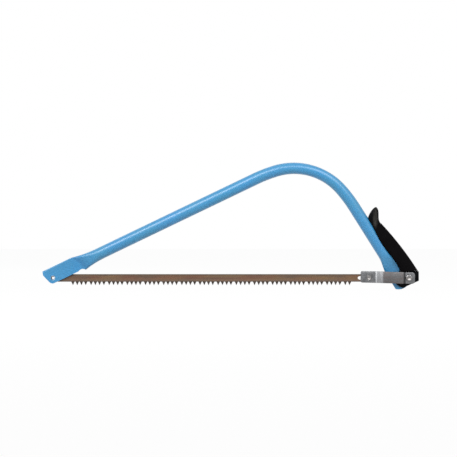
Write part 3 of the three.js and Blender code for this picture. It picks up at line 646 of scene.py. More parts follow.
def add_station(place, angle, half=TUBE_RADIUS, skew=0.0, bow=0.0, pinch=0.0):
    """Notes a place on the axis, its direction and the form of the ring there."""
    stations.append(dict(place=place, angle=angle, half=half, skew=skew, bow=bow, pinch=pinch))


add_station(axis_at_pin - nose_along * NOSE_OVERHANG, UPPER_ANGLE, PRESSED_HALF)
for share in shares(RAMP_STEPS):
    opened = lerp(TUBE_RADIUS, PRESSED_HALF, (1 - share) ** RAMP_POWER)
    run = NOSE_FLAT + share * NOSE_RAMP
    add_station(axis_at_pin + nose_along * run, UPPER_ANGLE, opened, RAMP_SKEW, RAMP_BOW)
print("stations at the nose:", len(stations))

# %% Stations round the bend and down to the tail
TURN = UPPER_ANGLE + REAR_ANGLE
LEAD_RADIUS, LEAD_ANGLE, BEND_RADIUS, BEND_PINCH = 230.0, radians(9.3), 103.6, 0.46
STEP = radians(1.5)
leg = heading(-REAR_ANGLE)
corner = axis_at_pin + nose_along * ((axis_at_fulcrum - axis_at_pin).cross(leg) / nose_along.cross(leg))
bend, place, angle = [], Vector((0, 0)), UPPER_ANGLE
lead = (LEAD_RADIUS, LEAD_ANGLE)
for radius, turn in (lead, (BEND_RADIUS, TURN - 2 * LEAD_ANGLE), lead):
    steps = ceil(turn / STEP)
    for i in range(steps):
        bend.append((place.copy(), angle))
        place += heading(angle - turn / steps / 2) * 2 * radius * sin(turn / steps / 2)
        angle -= turn / steps
bend.append((place.copy(), angle))
start = corner - nose_along * (place.length / 2 / cos(TURN / 2))
for spot, angle in bend:
    pinch = BEND_PINCH * sin(pi * (UPPER_ANGLE - angle) / TURN)
    add_station(start + spot, angle, pinch=pinch)
for share in reversed(shares(RAMP_STEPS)):
    rise = TAIL_RAMP_START + share * TAIL_RAMP
    opened = lerp(PRESSED_HALF, TUBE_RADIUS, ease(share))
    add_station(axis_at_fulcrum - leg * rise, -REAR_ANGLE, opened)
add_station(axis_at_fulcrum + leg * TAIL_LENGTH, -REAR_ANGLE, PRESSED_HALF)
print("stations along the bow:", len(stations))

# %% The tree that skins the stations
drawn_tube, given, result = new_tree(
    "Drawn tube", "GeometryNodeTree",
    {"Geometry": SHAPE, "Sides": WHOLE, "Radius": NUMBER, "Reach": NUMBER, "Material": COAT},
    {"Geometry": SHAPE})
tree = drawn_tube
count = wire(tree, "GeometryNodeAttributeDomainSize", given["Geometry"])
columns = calc(tree, "ADD", given["Sides"], 1)
sheet = wire(tree, "GeometryNodeMeshGrid", 1.0, 1.0, columns, count)
spread = arrow_calc(tree, "ADD", wire(tree, "GeometryNodeInputPosition"), (0.5, 0.5, 0.0))
share_round = wire(tree, "ShaderNodeSeparateXYZ", spread)
share_along = wire(tree, "ShaderNodeSeparateXYZ", spread, out=1)
half_side = calc(tree, "DIVIDE", 0.5, given["Sides"])
turn = times(tree, calc(tree, "ADD", share_round, half_side), 2 * pi)
last = calc(tree, "SUBTRACT", count, 1)
row = calc(tree, "ROUND", times(tree, share_along, last))


def at_station(label, kind="FLOAT"):
    """What the station of this row holds under a name."""
    held = wire(tree, "GeometryNodeInputNamedAttribute", label, data_type=kind)
    return wire(tree, "GeometryNodeSampleIndex", given["Geometry"], held, row,
                data_type=kind, domain="POINT")


half, pinch = at_station("half"), at_station("pinch")
flat = times(tree, calc(tree, "SUBTRACT", given["Radius"], half), pi / 2)
cosine, sine = calc(tree, "COSINE", turn), calc(tree, "SINE", turn)
fold = times(tree, calc(tree, "SIGN", cosine), flat)
across = calc(tree, "ADD", fold, times(tree, half, cosine))
drawn_in = calc(tree, "DIVIDE", pinch, given["Radius"])
across = times(tree, across, calc(tree, "SUBTRACT", 1.0, drawn_in))
width = times(tree, times(tree, half, sine), calc(tree, "ADD", 1.0, drawn_in))
part_across = calc(tree, "DIVIDE", across, given["Reach"])
bowed = times(tree, times(tree, part_across, part_across), at_station("bow"))
back = calc(tree, "ADD", times(tree, across, at_station("skew")), bowed)
print("tree:", tree.name, "so far with", len(tree.nodes), "nodes")

# %% The rest of the tree, and the skin itself
upwards = arrow_calc(tree, "SCALE", at_station("up", "FLOAT_VECTOR"), across)
forwards = arrow_calc(tree, "SCALE", at_station("along", "FLOAT_VECTOR"), back)
place_held = wire(tree, "GeometryNodeInputPosition")
place_there = wire(tree, "GeometryNodeSampleIndex", given["Geometry"], place_held, row,
                   data_type="FLOAT_VECTOR", domain="POINT")
spot = arrow_calc(tree, "SUBTRACT", arrow_calc(tree, "ADD", place_there, upwards), forwards)
spot = arrow_calc(tree, "SUBTRACT", spot, wire(tree, "ShaderNodeCombineXYZ", 0.0, width, 0.0))
skin = wire(tree, "GeometryNodeSetPosition", sheet, None, spot)
skin = wire(tree, "GeometryNodeMergeByDistance", skin, None, WELD)
skin = wire(tree, "GeometryNodeRealizeInstances", skin)
skin = wire(tree, "GeometryNodeSetMaterial", skin, None, given["Material"])
tree.links.new(skin, result["Geometry"])

TUBE_SIDES = 80
line = bpy.data.meshes.new("bow_line")
line.from_pydata([Vector((s["place"].x, 0, s["place"].y)) * MM for s in stations], [], [])
for label in ("half", "bow", "pinch", "skew"):
    scale = 1 if label == "skew" else MM
    held = line.attributes.new(label, "FLOAT", "POINT")
    held.data.foreach_set("value", [s[label] * scale for s in stations])
for label, quarter in (("along", 0), ("up", pi / 2)):
    held = line.attributes.new(label, "FLOAT_VECTOR", "POINT")
    arrows = [heading(s["angle"] + quarter) for s in stations]
    held.data.foreach_set("vector", [value for arrow in arrows for value in (arrow.x, 0, arrow.y)])
bow = show("bow_tube", line)
grow(bow, drawn_tube, {"Sides": TUBE_SIDES, "Radius": TUBE_RADIUS * MM, "Reach": PRESSED_REACH * MM,
                       "Material": blue_enamel})
print("skin of the bow:", len(bow.data.polygons), "faces")

# %% [markdown]
# ## Wall, slot and holes of the bow
# The skin is given the tube's 1.2 mm wall. Then the ends are cut as a press tool cuts them: the nose
# to its pointed chin with a slot underneath for the blade, the tail to a round end, and a hole for
# each pin. Cutting the finished wall shows its true thickness at every edge.

# %% Give the bow its wall
TUBE_WALL = 1.2
with reshaped(bow.data) as shape:
    bmesh.ops.recalc_face_normals(shape, faces=shape.faces)
thicken(bow, TUBE_WALL, INWARDS)
print("walled bow:", len(bow.data.polygons), "faces")

# %% Outline of what is cut from the nose


def on_axis(outline, origin, angle):
    """Places an outline that was drawn along and across the tube."""
    across = heading(angle + pi / 2)
    return [tuple(origin + heading(angle) * x + across * z) for x, z in outline]


FAR = 2 * PRESSED_REACH
NOSE_CORNER, NOSE_BROW, CHIN_RADIUS, CUT_CLEAR = 1.8, 8.0, 9.2, 0.05
SLOT_LENGTH, RUNOUT_RADIUS, RUNOUT_DEPTH = 47.1, 9.0, 1.4
to_brow = Vector((-NOSE_OVERHANG, NOSE_BROW + PIN_RISE))
brow_angle = atan2(to_brow.y, to_brow.x)
chin_start = brow_angle + acos(CHIN_RADIUS / to_brow.length)
chin_end = 1.5 * pi - acos((SLOT_EDGE - PIN_RISE) / CHIN_RADIUS)
runout_middle = (SLOT_LENGTH, RUNOUT_DEPTH - SLOT_EDGE - RUNOUT_RADIUS)
slot_meets = asin((-SLOT_EDGE - runout_middle[1]) / RUNOUT_RADIUS)
fold_meets = asin((-PRESSED_REACH - runout_middle[1]) / RUNOUT_RADIUS)
corner_x = NOSE_CORNER - NOSE_OVERHANG
nose_waste = [(-FAR, FAR), (corner_x, FAR), (corner_x, PRESSED_REACH + CUT_CLEAR)]
nose_waste += [(-NOSE_OVERHANG, NOSE_BROW)]
nose_waste += arc((0, -PIN_RISE), CHIN_RADIUS, chin_start, chin_end)
nose_waste += arc(runout_middle, RUNOUT_RADIUS, pi - slot_meets, fold_meets)
nose_waste += [(SLOT_LENGTH + RUNOUT_RADIUS, -FAR), (-FAR, -FAR)]
print("outline of the nose:", len(nose_waste), "points")

# %% Cut the nose, the tail and the holes
TAIL_RADIUS, PIN_HOLE, FULCRUM_HOLE = 20.3, 3.7, 4.3
tail_meets = asin(PRESSED_REACH / TAIL_RADIUS)
tail_corner = TAIL_RADIUS * (1 - cos(tail_meets))
tail_waste = [(-FAR, -FAR), (FAR, -FAR), (FAR, tail_corner - TAIL_LENGTH)]
tail_waste += arc((0, TAIL_RADIUS - TAIL_LENGTH), TAIL_RADIUS,
                  tail_meets - pi / 2, -tail_meets - pi / 2)
tail_waste += [(-FAR, tail_corner - TAIL_LENGTH)]
carve(bow,
      slab("cutter", on_axis(nose_waste, axis_at_pin, UPPER_ANGLE), -FAR, FAR),
      slab("cutter", on_axis(tail_waste, axis_at_fulcrum, LEVER_LEAN), -FAR, FAR),
      bar(PIN_HOLE, nose_pivot), bar(FULCRUM_HOLE, fulcrum))
smooth(bow, sharp=28)
seat(bow, "frame", "blue_enamel", blue_enamel, "frame_tube")

# %% [markdown]
# ## Nose pin
# The front of the blade hangs on a spring pin, a strip of steel rolled to a C, with its bore open to
# the light. Its section is drawn as a C and made as wide as the pressed nose.

# %% Nose pin
PIN_RADIUS, PIN_BORE, PIN_SLIT = 3.38, 2.0, 0.45
outer_open, inner_open = asin(PIN_SLIT / PIN_RADIUS), asin(PIN_SLIT / PIN_BORE)
round_again = UPPER_ANGLE + 2 * pi
rolled = arc(nose_pivot, PIN_RADIUS, UPPER_ANGLE + outer_open, round_again - outer_open, 64)
rolled += arc(nose_pivot, PIN_BORE, round_again - inner_open, UPPER_ANGLE + inner_open, 64)
spring_pin = slab("nose_spring_pin", rolled, -PRESSED_HALF, PRESSED_HALF)
smooth(round_edges(spring_pin, 0.2, above=60), sharp=40)
seat(spring_pin, "frame", "pin_steel", pin_steel, "nose_pin")

# %% [markdown]
# ## Blade
# The blade is a strip of spring steel with an eye in front and a long slot at the rear. Its peg teeth
# stand in groups of four with a wider gullet between the groups, and lean to alternate sides so that
# the cut is wider than the blade. They repeat by a rule, so a geometry tree sets them out: one filed
# tooth is placed along the edge, every second one is turned round, and all are joined to the strip.

# %% Strip of the blade
BLADE_HALF_THICK = 0.45
EYE, SLOT_BEND, SLOT_REAR, REAR_MARGIN = 3.7, 3.8, 3.1, 5.0
SLOT_FRONT, SLOT_WIDE, SLOT_NOSE = 18.6, 12.4, 2.6
corner_size = BLADE_HALF / 2
rear = peg_pivot.x + SLOT_REAR + REAR_MARGIN - corner_size
level = nose_pivot.y
strip_outline = arc(nose_pivot, BLADE_HALF, pi / 2, 1.5 * pi, 40)
strip_outline += arc((rear, level - corner_size), corner_size, -pi / 2, 0, 10)
strip_outline += arc((rear, level + corner_size), corner_size, 0, pi / 2, 10)
strip = slab("blade_strip", strip_outline, -BLADE_HALF_THICK, BLADE_HALF_THICK)
slot_outline = arc((peg_pivot.x - SLOT_FRONT + SLOT_NOSE, level), SLOT_NOSE, pi / 2, 1.5 * pi)
slot_outline += [(peg_pivot.x - SLOT_WIDE, level - SLOT_BEND)]
slot_outline += arc((peg_pivot.x + SLOT_REAR - SLOT_BEND, level), SLOT_BEND, -pi / 2, pi / 2)
slot_outline += [(peg_pivot.x - SLOT_WIDE, level + SLOT_BEND)]
carve(strip, bar(EYE, nose_pivot), slab("cutter", slot_outline, -FAR, FAR))
print("strip of the blade:", len(strip.data.polygons), "faces")

# %% The tree that sets the teeth
toothed, given, result = new_tree(
    "Set teeth", "GeometryNodeTree",
    {"Geometry": SHAPE, "Strip": THING, "Count": WHOLE, "Group": WHOLE, "First": ARROW, "Pitch": NUMBER,
     "Extra": NUMBER, "Material": COAT}, {"Geometry": SHAPE})
tree = toothed
row = wire(tree, "GeometryNodeMeshLine", given["Count"])
number = wire(tree, "GeometryNodeInputIndex")
groups = calc(tree, "FLOOR", calc(tree, "DIVIDE", number, given["Group"]))
run = calc(tree, "ADD", times(tree, number, given["Pitch"]),
           times(tree, groups, given["Extra"]))
spot = arrow_calc(tree, "ADD", given["First"], wire(tree, "ShaderNodeCombineXYZ", run, 0.0, 0.0))
row = wire(tree, "GeometryNodeSetPosition", row, None, spot)
odd = times(tree, calc(tree, "MODULO", number, 2.0), pi)
facing = wire(tree, "ShaderNodeCombineXYZ", 0.0, 0.0, odd)
teeth = wire(tree, "GeometryNodeInstanceOnPoints", row, None, given["Geometry"], None, None, facing)
teeth = wire(tree, "GeometryNodeRealizeInstances", teeth)
OBJECT_MESH = 4
held = wire(tree, "GeometryNodeObjectInfo", given["Strip"], out=OBJECT_MESH)
join = tree.nodes.new("GeometryNodeMeshBoolean")
join.operation = "UNION"
join.solver = "EXACT"
tree.links.new(held, join.inputs["Mesh 2"])
tree.links.new(teeth, join.inputs["Mesh 2"])
whole = wire(tree, "GeometryNodeRealizeInstances", join.outputs["Mesh"])
whole = wire(tree, "GeometryNodeSetMaterial", whole, None, given["Material"])
tree.links.new(whole, result["Geometry"])
print("tree:", tree.name, "with", len(tree.nodes), "nodes")

# %% One filed tooth, repeated along the edge
TOOTH_HALF, TIP_HALF, TOOTH_SET, TOOTH_FILED, TOOTH_ROOT = 2.7, 0.16, 0.5, 1.3, 0.8
TOOTH_HEIGHT = 5.6
TOOTH_PITCH, GROUP_GULLET, GROUP_SIZE, TEETH = 7.0, 8.95, 4, 62
TOOTHLESS_FRONT = 32.8


def tooth_ring(half, lean, near_z, far_z):
    """Four corners of a tooth, leaning towards the near side."""
    near, far = -BLADE_HALF_THICK - lean, BLADE_HALF_THICK - lean
    return [(-half, near, near_z), (half, near, near_z), (half, far, far_z), (-half, far, far_z)]


tooth = lofted("saw_blade_set", [
    tooth_ring(TOOTH_HALF, 0, TOOTH_ROOT, TOOTH_ROOT), tooth_ring(TOOTH_HALF, 0, 0, 0),
    tooth_ring(TIP_HALF, TOOTH_SET, -TOOTH_HEIGHT, TOOTH_FILED - TOOTH_HEIGHT)])
first = Vector((nose_pivot.x + TOOTHLESS_FRONT, 0, level - BLADE_HALF)) * MM
blade = grow(tooth, toothed, {"Strip": strip, "Count": TEETH, "Group": GROUP_SIZE, "First": first,
                              "Pitch": TOOTH_PITCH * MM, "Extra": (GROUP_GULLET - TOOTH_PITCH) * MM,
                              "Material": blade_steel})
bpy.data.objects.remove(strip)
smooth(blade, sharp=30)
seat(blade, "blade", "blade_steel", blade_steel, "saw_blade")

# %% [markdown]
# ## Link plates
# Two stamped plates tie the blade to the lever. Each lies close to the blade in front, flares out over
# the tube's tail and steps in again at the rivet. A bent sheet is easiest as a flat one that is
# sliced where it bends: the slices are moved sideways by the bend, and then the sheet gets thick.

# %% Outline and bends of a plate
LINK_HALF, LINK_SHEET, LINK_TILT = 9.5, 1.6, radians(-1.4)
LINK_FRONT, LINK_REAR, FRONT_CORNER, REAR_CORNER = -79.6, 9.6, 3.0, 5.0
FOOT_HALF, SEAT_GAP, BLADE_GAP, BULGE = 6.3, 0.3, 1.1, 1.5
BEND_EASE = 1.0
rise = FOOT_HALF + SEAT_GAP + BULGE - BLADE_GAP
bends = ((FLARE_START, rise / FLARE_LENGTH), (FLARE_START + FLARE_LENGTH, -rise / FLARE_LENGTH),
         (STEP_START, -BULGE / STEP_LENGTH), (STEP_START + STEP_LENGTH, BULGE / STEP_LENGTH))


def eased_rise(run):
    """Zero before a corner, one to one after it, and an eased bend between."""
    if abs(run) >= BEND_EASE:
        return max(0, run)
    return (run + BEND_EASE) ** 2 / (4 * BEND_EASE)


def stand_off(x):
    """How far the inside of a plate stands off the middle of the saw."""
    return BLADE_GAP + sum(slope * eased_rise(x - at) for at, slope in bends)


front, rear = (LINK_FRONT + FRONT_CORNER, FRONT_CORNER, 8), (LINK_REAR - REAR_CORNER, REAR_CORNER, 12)
plate_outline = []
corners = ((front, 1, 0.5), (front, -1, 1.0), (rear, -1, 1.5), (rear, 1, 2.0))
for (x, size, steps), side, turn in corners:
    middle = (x, side * (LINK_HALF - size))
    plate_outline += arc(middle, size, turn * pi, (turn + 0.5) * pi, steps)
plate_outline = on_axis(plate_outline, Vector((0, 0)), LINK_TILT)
print("a plate stands off up to", round(stand_off(STEP_START - BEND_EASE), 1), "mm")

# %% Bend both plates
BEND_SLICES, PEG_WINDOW, RIVET_HOLE = 6, 3.8, 3.3


def link_plate(name, side, node):
    """A plate on one side of the saw: sliced, bent, made thick and pierced."""
    mesh = bpy.data.meshes.new(name)
    mesh.from_pydata([(x, 0, z) for x, z in plate_outline], [], [range(len(plate_outline))])
    with reshaped(mesh) as shape:
        for at, _ in bends:
            for share in shares(BEND_SLICES):
                x = at + lerp(-BEND_EASE, BEND_EASE, share)
                everything = shape.verts[:] + shape.edges[:] + shape.faces[:]
                bmesh.ops.bisect_plane(shape, geom=everything, plane_co=(x, 0, 0), plane_no=(1, 0, 0))
        for point in shape.verts:
            x, z = point.co.x, point.co.z
            point.co = Vector((link_pivot.x + x, side * stand_off(x), link_pivot.y + z)) * MM
        bmesh.ops.recalc_face_normals(shape, faces=shape.faces)
        shape.faces.ensure_lookup_table()
        if shape.faces[0].normal.y * side < 0:
            bmesh.ops.reverse_faces(shape, faces=shape.faces)
    plate = thicken(show(name, mesh), LINK_SHEET, OUTWARDS)
    x, z, w = peg_pivot.x, peg_pivot.y, PEG_WINDOW
    window = slab("cutter", [(x - w, z - w), (x + w, z - w), (x + w, z + w), (x - w, z + w)], -FAR, FAR)
    carve(plate, window, bar(RIVET_HOLE, link_pivot))
    smooth(round_edges(plate, 0.3, above=60), sharp=35)
    seat(plate, "link", "link_steel", link_steel, node)


HANDS = (("left", -1, "near"), ("right", 1, "far"))
for hand, side, place in HANDS:
    link_plate(f"link_plate_{hand}", side, f"link_plate_{place}")

# %% [markdown]
# ## Peg and rivets
# The peg has square ends, each dished by the punch that spread it. The rivets have rolled heads with
# a low middle. Round things are turned from a profile, as on a lathe, and a ball cuts the peg's dish.

# %% Peg of the blade
PEG_HALF, PEG_FACE, PEG_INSIDE, PEG_SHANK = 3.5, 3.0, 0.75, 2.1
DISH_RADIUS, DISH_DEPTH, BALL_STEPS = 2.8, 1.0, 48
punch = (DISH_RADIUS ** 2 + DISH_DEPTH ** 2) / (2 * DISH_DEPTH)
h = PEG_HALF
square = [tuple(peg_pivot + Vector(p)) for p in ((-h, -h), (h, -h), (h, h), (-h, h))]
peg = bar(PEG_SHANK, peg_pivot, PEG_FACE - DISH_DEPTH)
peg.name = "link_peg"
for side in (-1, 1):
    head = slab("head", square, side * PEG_INSIDE, side * PEG_FACE)
    round_edges(head, 0.25, above=60)
    carve(peg, head, operation="UNION")
    lowest = side * (PEG_FACE + punch - DISH_DEPTH)
    ball = arc((0, lowest), punch, -pi / 2, pi / 2, BALL_STEPS)
    carve(peg, turned("ball", ball, peg_pivot))
smooth(peg, sharp=35)
seat(peg, "link", "rivet_steel", rivet_steel, "blade_peg")

# %% Rivets of the link
FORK_HALF, RIVET_SHANK, RIVET_FOOT, FOOT_DEPTH = 2.3, 3.0, 4.0, 1.0
RIVET_HEAD, RIVET_CREST, RIVET_RIM, RIVET_CENTRE, HEAD_STEPS = 5.7, 3.9, 1.9, 0.7, 16
rivet_seat = FOOT_HALF + LINK_SHEET + 2 * SEAT_GAP
rivet_profile = [(0, FORK_HALF), (RIVET_FOOT, FORK_HALF), (RIVET_SHANK, FORK_HALF + FOOT_DEPTH),
                 (RIVET_SHANK, rivet_seat)]
head_shares = shares(HEAD_STEPS)
rivet_profile += [(lerp(RIVET_CREST, RIVET_HEAD, cos(pi / 2 * share)),
                   rivet_seat + RIVET_RIM * sin(pi / 2 * share)) for share in head_shares]
rivet_profile += [(RIVET_CREST * share, rivet_seat + lerp(RIVET_CENTRE, RIVET_RIM, ease(share)))
                  for share in reversed(head_shares[:-1])]
for hand, side, place in HANDS:
    rivet = turned(f"link_rivet_{hand}", [(r, side * y) for r, y in rivet_profile], link_pivot)
    smooth(rivet, sharp=40)
    seat(rivet, "link", "rivet_steel", rivet_steel, f"link_rivet_{place}")

# %% [markdown]
# ## Fulcrum pin
# The lever turns on a countersunk pin through the pressed tail. Its flush heads hide under the link,
# and only a rim shows.

# %% Fulcrum pin
FULCRUM_SHANK, FULCRUM_HEAD, FULCRUM_NECK, HEAD_EDGE = 4.0, 6.5, 3.9, 0.25
half_profile = [(FULCRUM_SHANK, FULCRUM_NECK), (FULCRUM_HEAD, FOOT_HALF - HEAD_EDGE),
                (FULCRUM_HEAD - HEAD_EDGE, FOOT_HALF), (0, FOOT_HALF)]
pin_profile = [(r, -y) for r, y in reversed(half_profile)] + half_profile
fulcrum_bolt = turned("lever_fulcrum", pin_profile, fulcrum)
smooth(fulcrum_bolt, sharp=30)
seat(fulcrum_bolt, "frame", "pin_steel", pin_steel, "fulcrum_pin")

# %% [markdown]
# ## Lever
# The lever is one casting: a forked foot on the fulcrum, a tang, and a horn that sweeps back. A matt
# sleeve covers the tang and closes over the tube like a trough. Horn and sleeve are lofts of rings
# that are rounder at the back, where the palm lies; foot and tang are flat bars. Everything is drawn
# upright from the fulcrum, x towards the back and y up the leg, and leaned into place at the end.

# %% Rings of the lever
BACK_ROUND, FRONT_ROUND = 0.8, 0.45
tilt_across, tilt_up = heading(LEVER_LEAN), heading(LEVER_LEAN + pi / 2)


def leaned(x, y):
    """A point of the upright lever, leaned into place."""
    return tuple(fulcrum + tilt_across * x + tilt_up * y)


def lever_ring(back, front, half, y, sides=72):
    """A ring that is rounder at its back than at its front."""
    ring = []
    for k in range(sides):
        turn = 2 * pi * (k + 0.5) / sides
        power = BACK_ROUND if sin(turn) > 0 else FRONT_ROUND
        soft = [copysign(abs(v) ** power, v) for v in (sin(turn), cos(turn))]
        x, z = leaned((back + front) / 2 + (back - front) / 2 * soft[0], y)
        ring.append((x, half * soft[1], z))
    return ring


print("the lever leans by", round(degrees(LEVER_LEAN), 1), "degrees")

# %% Room for the tube
RUN_GAP = 0.4
ROOM_LOW, ROOM_HIGH, ROOM_DEPTH, ROOM_STEPS, ROOM_SIDES = -60.0, 180.0, 30.0, 24, 32


def tube_room():
    """The room that the tube needs in front of the lever."""
    rows = [(TAIL_RAMP_START + TAIL_RAMP * share, lerp(PRESSED_HALF, TUBE_RADIUS, ease(share)))
            for share in shares(ROOM_STEPS)]
    turns = [pi * ((k + 0.5) / ROOM_SIDES - 0.5) for k in range(ROOM_SIDES)]
    rings = []
    for y, half in [(ROOM_LOW, PRESSED_HALF)] + rows + [(ROOM_HIGH, TUBE_RADIUS)]:
        side = half + RUN_GAP
        flat = pi / 2 * (TUBE_RADIUS - half)
        points = [(flat + side * cos(t), side * sin(t)) for t in turns]
        points = [(-ROOM_DEPTH, -side)] + points + [(-ROOM_DEPTH, side)]
        ring = [(leaned(x - AXIS_SETBACK, y), width) for x, width in points]
        rings.append([(x, width, z) for (x, z), width in ring])
    return lofted("cutter", rings)


print("the tube gets", RUN_GAP, "mm of room")

# %% Tang and end of the sleeve
GRIP_TOP = 97.5
sweep = hypot(LINK_REAR - REAR_CORNER, LINK_HALF - REAR_CORNER) + REAR_CORNER
grip_floor = sweep + RUN_GAP + link_pivot.y - fulcrum.y


def floor_at(x, height):
    """Height up the lever of a level plane."""
    return (height - x * sin(LEVER_LEAN)) / cos(LEVER_LEAN)


TANG_HALF, TANG_ROOT, TANG_TOP, TANG_DEPTH, TANG_SINK = 4.5, 21.0, 15.5, 4.0, 3.0
FOOT_BACK, BACK_DROP = 31.4, 3.4


def tang(grown):
    """The bar that joins the foot to the horn, or the pocket for it."""
    half, top = TANG_DEPTH + grown, GRIP_TOP + TANG_SINK
    side = [(TANG_ROOT - half, -BACK_DROP), (TANG_ROOT + half, -BACK_DROP),
            (TANG_TOP + half, top), (TANG_TOP - half, top)]
    return slab("tang", [leaned(x, y) for x, y in side], -TANG_HALF - grown, TANG_HALF + grown)


print("sleeve ends", round(grip_floor, 1), "mm above the fulcrum")

# %% Sleeve
NECK_BACK, NECK_WIDTH, GRIP_WIDTH, NECK_SHARE, BELLY = 21.8, 18.0, 22.3, 0.3, 2.4
LIPS = (6.0, 3.4, 4.0, 6.6, 6.6, -1.4)
SLEEVE_STEPS = 56


def lip(share):
    """Front of the sleeve: a smooth line through the lips, from neck to foot."""
    run = share * (len(LIPS) - 1)
    i = min(int(run), len(LIPS) - 2)
    a, b, c, d = (LIPS[min(max(i + k, 0), len(LIPS) - 1)] for k in (-1, 0, 1, 2))
    t, v, w = run - i, (c - a) / 2, (d - b) / 2
    return (2 * b - 2 * c + v + w) * t ** 3 + (3 * c - 3 * b - 2 * v - w) * t ** 2 + v * t + b


foot_height = floor_at(FOOT_BACK, grip_floor)
rings = []
for share in shares(SLEEVE_STEPS):
    back = lerp(NECK_BACK, FOOT_BACK, share) + BELLY * 4 * share * (1 - share)
    half = lerp(NECK_WIDTH, GRIP_WIDTH, ease(share / NECK_SHARE)) / 2
    rings.append(lever_ring(back, lip(share), half, lerp(GRIP_TOP, foot_height, share)))
sleeve = lofted("lever_sleeve", rings)
x, z, wide = fulcrum.x, fulcrum.y + grip_floor, 2 * GRIP_TOP
below = [(x - wide, z - wide), (x + wide, z - wide), (x + wide, z), (x - wide, z)]
carve(sleeve, slab("cutter", below, -FAR, FAR), tube_room(), tang(SEAT_GAP))
smooth(sleeve, sharp=40)
seat(sleeve, "lever", "grip_matte", grip_matte, "lever_grip")

# %% Horn
HORN_TOP, HORN_TIP, HORN_BROW, HORN_LIP, SHOULDER = 125.0, 29.8, 6.6, 7.6, 0.55
WAIST, WAIST_SHARE, TIP_SHARE = 21.2, 0.1, 0.85
HORN_HALF, TIP_HALF_WIDTH, TIP_ROUND, HORN_STEPS = 8.0, 4.0, 2.4, 48
horn_base = GRIP_TOP + SEAT_GAP


def horn_sides(share):
    """Back, front and half-width of the horn at a share of its height."""
    back = lerp(WAIST, HORN_TIP, ease((share - WAIST_SHARE) / (TIP_SHARE - WAIST_SHARE)))
    turn = max(0, (share - SHOULDER) / (1 - SHOULDER))
    front = lerp(LIPS[0], HORN_LIP, share) + (HORN_TIP - HORN_BROW - HORN_LIP) * turn ** 2
    return back, front, lerp(HORN_HALF, TIP_HALF_WIDTH, share ** 2)


rings = []
for step in shares(HORN_STEPS):
    share = sin(pi / 2 * step)
    height = lerp(horn_base, HORN_TOP, share)
    over = max(0, 1 - (HORN_TOP - height) / TIP_ROUND)
    drawn = TIP_ROUND * (1 - sqrt(max(0, 1 - over ** 2)))
    back, front, half = horn_sides(share)
    rings.append(lever_ring(back - drawn, front + drawn, half - drawn, height))
core = lofted("lever_core_cast", rings)
print("horn:", len(core.data.polygons), "faces")

# %% Scoops of the horn
SCOOP_HALF, SCOOP_LONG, SCOOP_DEPTH, SCOOP_BELOW = 4.75, 16.0, 1.3, 12.5
SCOOP_STEPS, SCOOP_SIDES = 32, 48
scoop_height = HORN_TOP - SCOOP_BELOW
scoop_share = (scoop_height - horn_base) / (HORN_TOP - horn_base)
horn_middle = [sum(horn_sides(share)[:2]) / 2 for share in (0, scoop_share, 1)]
scoop_lean = atan2(horn_middle[2] - horn_middle[0], HORN_TOP - horn_base)
width = horn_sides(scoop_share)[2] + SCOOP_DEPTH
for side in (-1, 1):
    rings = []
    for share in shares(SCOOP_STEPS):
        turn = pi * (share - 0.5)
        up = SCOOP_LONG * sin(turn)
        ring = []
        for k in range(SCOOP_SIDES):
            round_turn = 2 * pi * k / SCOOP_SIDES
            across = SCOOP_HALF * cos(turn) * cos(round_turn)
            deep = 2 * SCOOP_DEPTH * cos(turn) * sin(round_turn)
            x, z = leaned(horn_middle[1] + across * cos(scoop_lean) + up * sin(scoop_lean),
                          scoop_height - across * sin(scoop_lean) + up * cos(scoop_lean))
            ring.append((x, side * (width + deep), z))
        rings.append(ring)
    carve(core, lofted("cutter", rings, capped=False))
print("horn with scoops:", len(core.data.polygons), "faces")

# %% Foot and fork of the lever
BOSS, BOSS_END, THROAT, FOOT_EDGE = 10.6, radians(215), 5.2, 0.8
SOLE, SOLE_FORWARD, HEEL, HEEL_DROP = 11.6, 5.2, 23.7, 15.9
foot_top = grip_floor - SEAT_GAP
boss_start = pi - asin(THROAT / BOSS)
foot_side = [(THROAT, floor_at(THROAT, foot_top))] + arc((0, 0), BOSS, boss_start, BOSS_END, 32)
foot_side += [(-SOLE_FORWARD, -SOLE), (HEEL, -HEEL_DROP), (FOOT_BACK, -BACK_DROP)]
foot_side += [(FOOT_BACK, floor_at(FOOT_BACK, foot_top))]
foot = slab("foot", [leaned(x, y) for x, y in foot_side], -FOOT_HALF, FOOT_HALF)
round_edges(foot, FOOT_EDGE, 3, above=60)
carve(core, foot, tang(0), operation="UNION")
tail_reach = hypot(PRESSED_REACH + AXIS_SETBACK, TAIL_LENGTH - tail_corner) + RUN_GAP
wide = 2 * tail_reach
fork = arc((0, 0), tail_reach, -pi / 2, 0, 32)
fork += [(PRESSED_REACH - AXIS_SETBACK + RUN_GAP, wide), (-wide, wide), (-wide, -tail_reach)]
carve(core, slab("cutter", [leaned(x, y) for x, y in fork], -FORK_HALF, FORK_HALF), tube_room())
print("lever with foot and fork:", len(core.data.polygons), "faces")

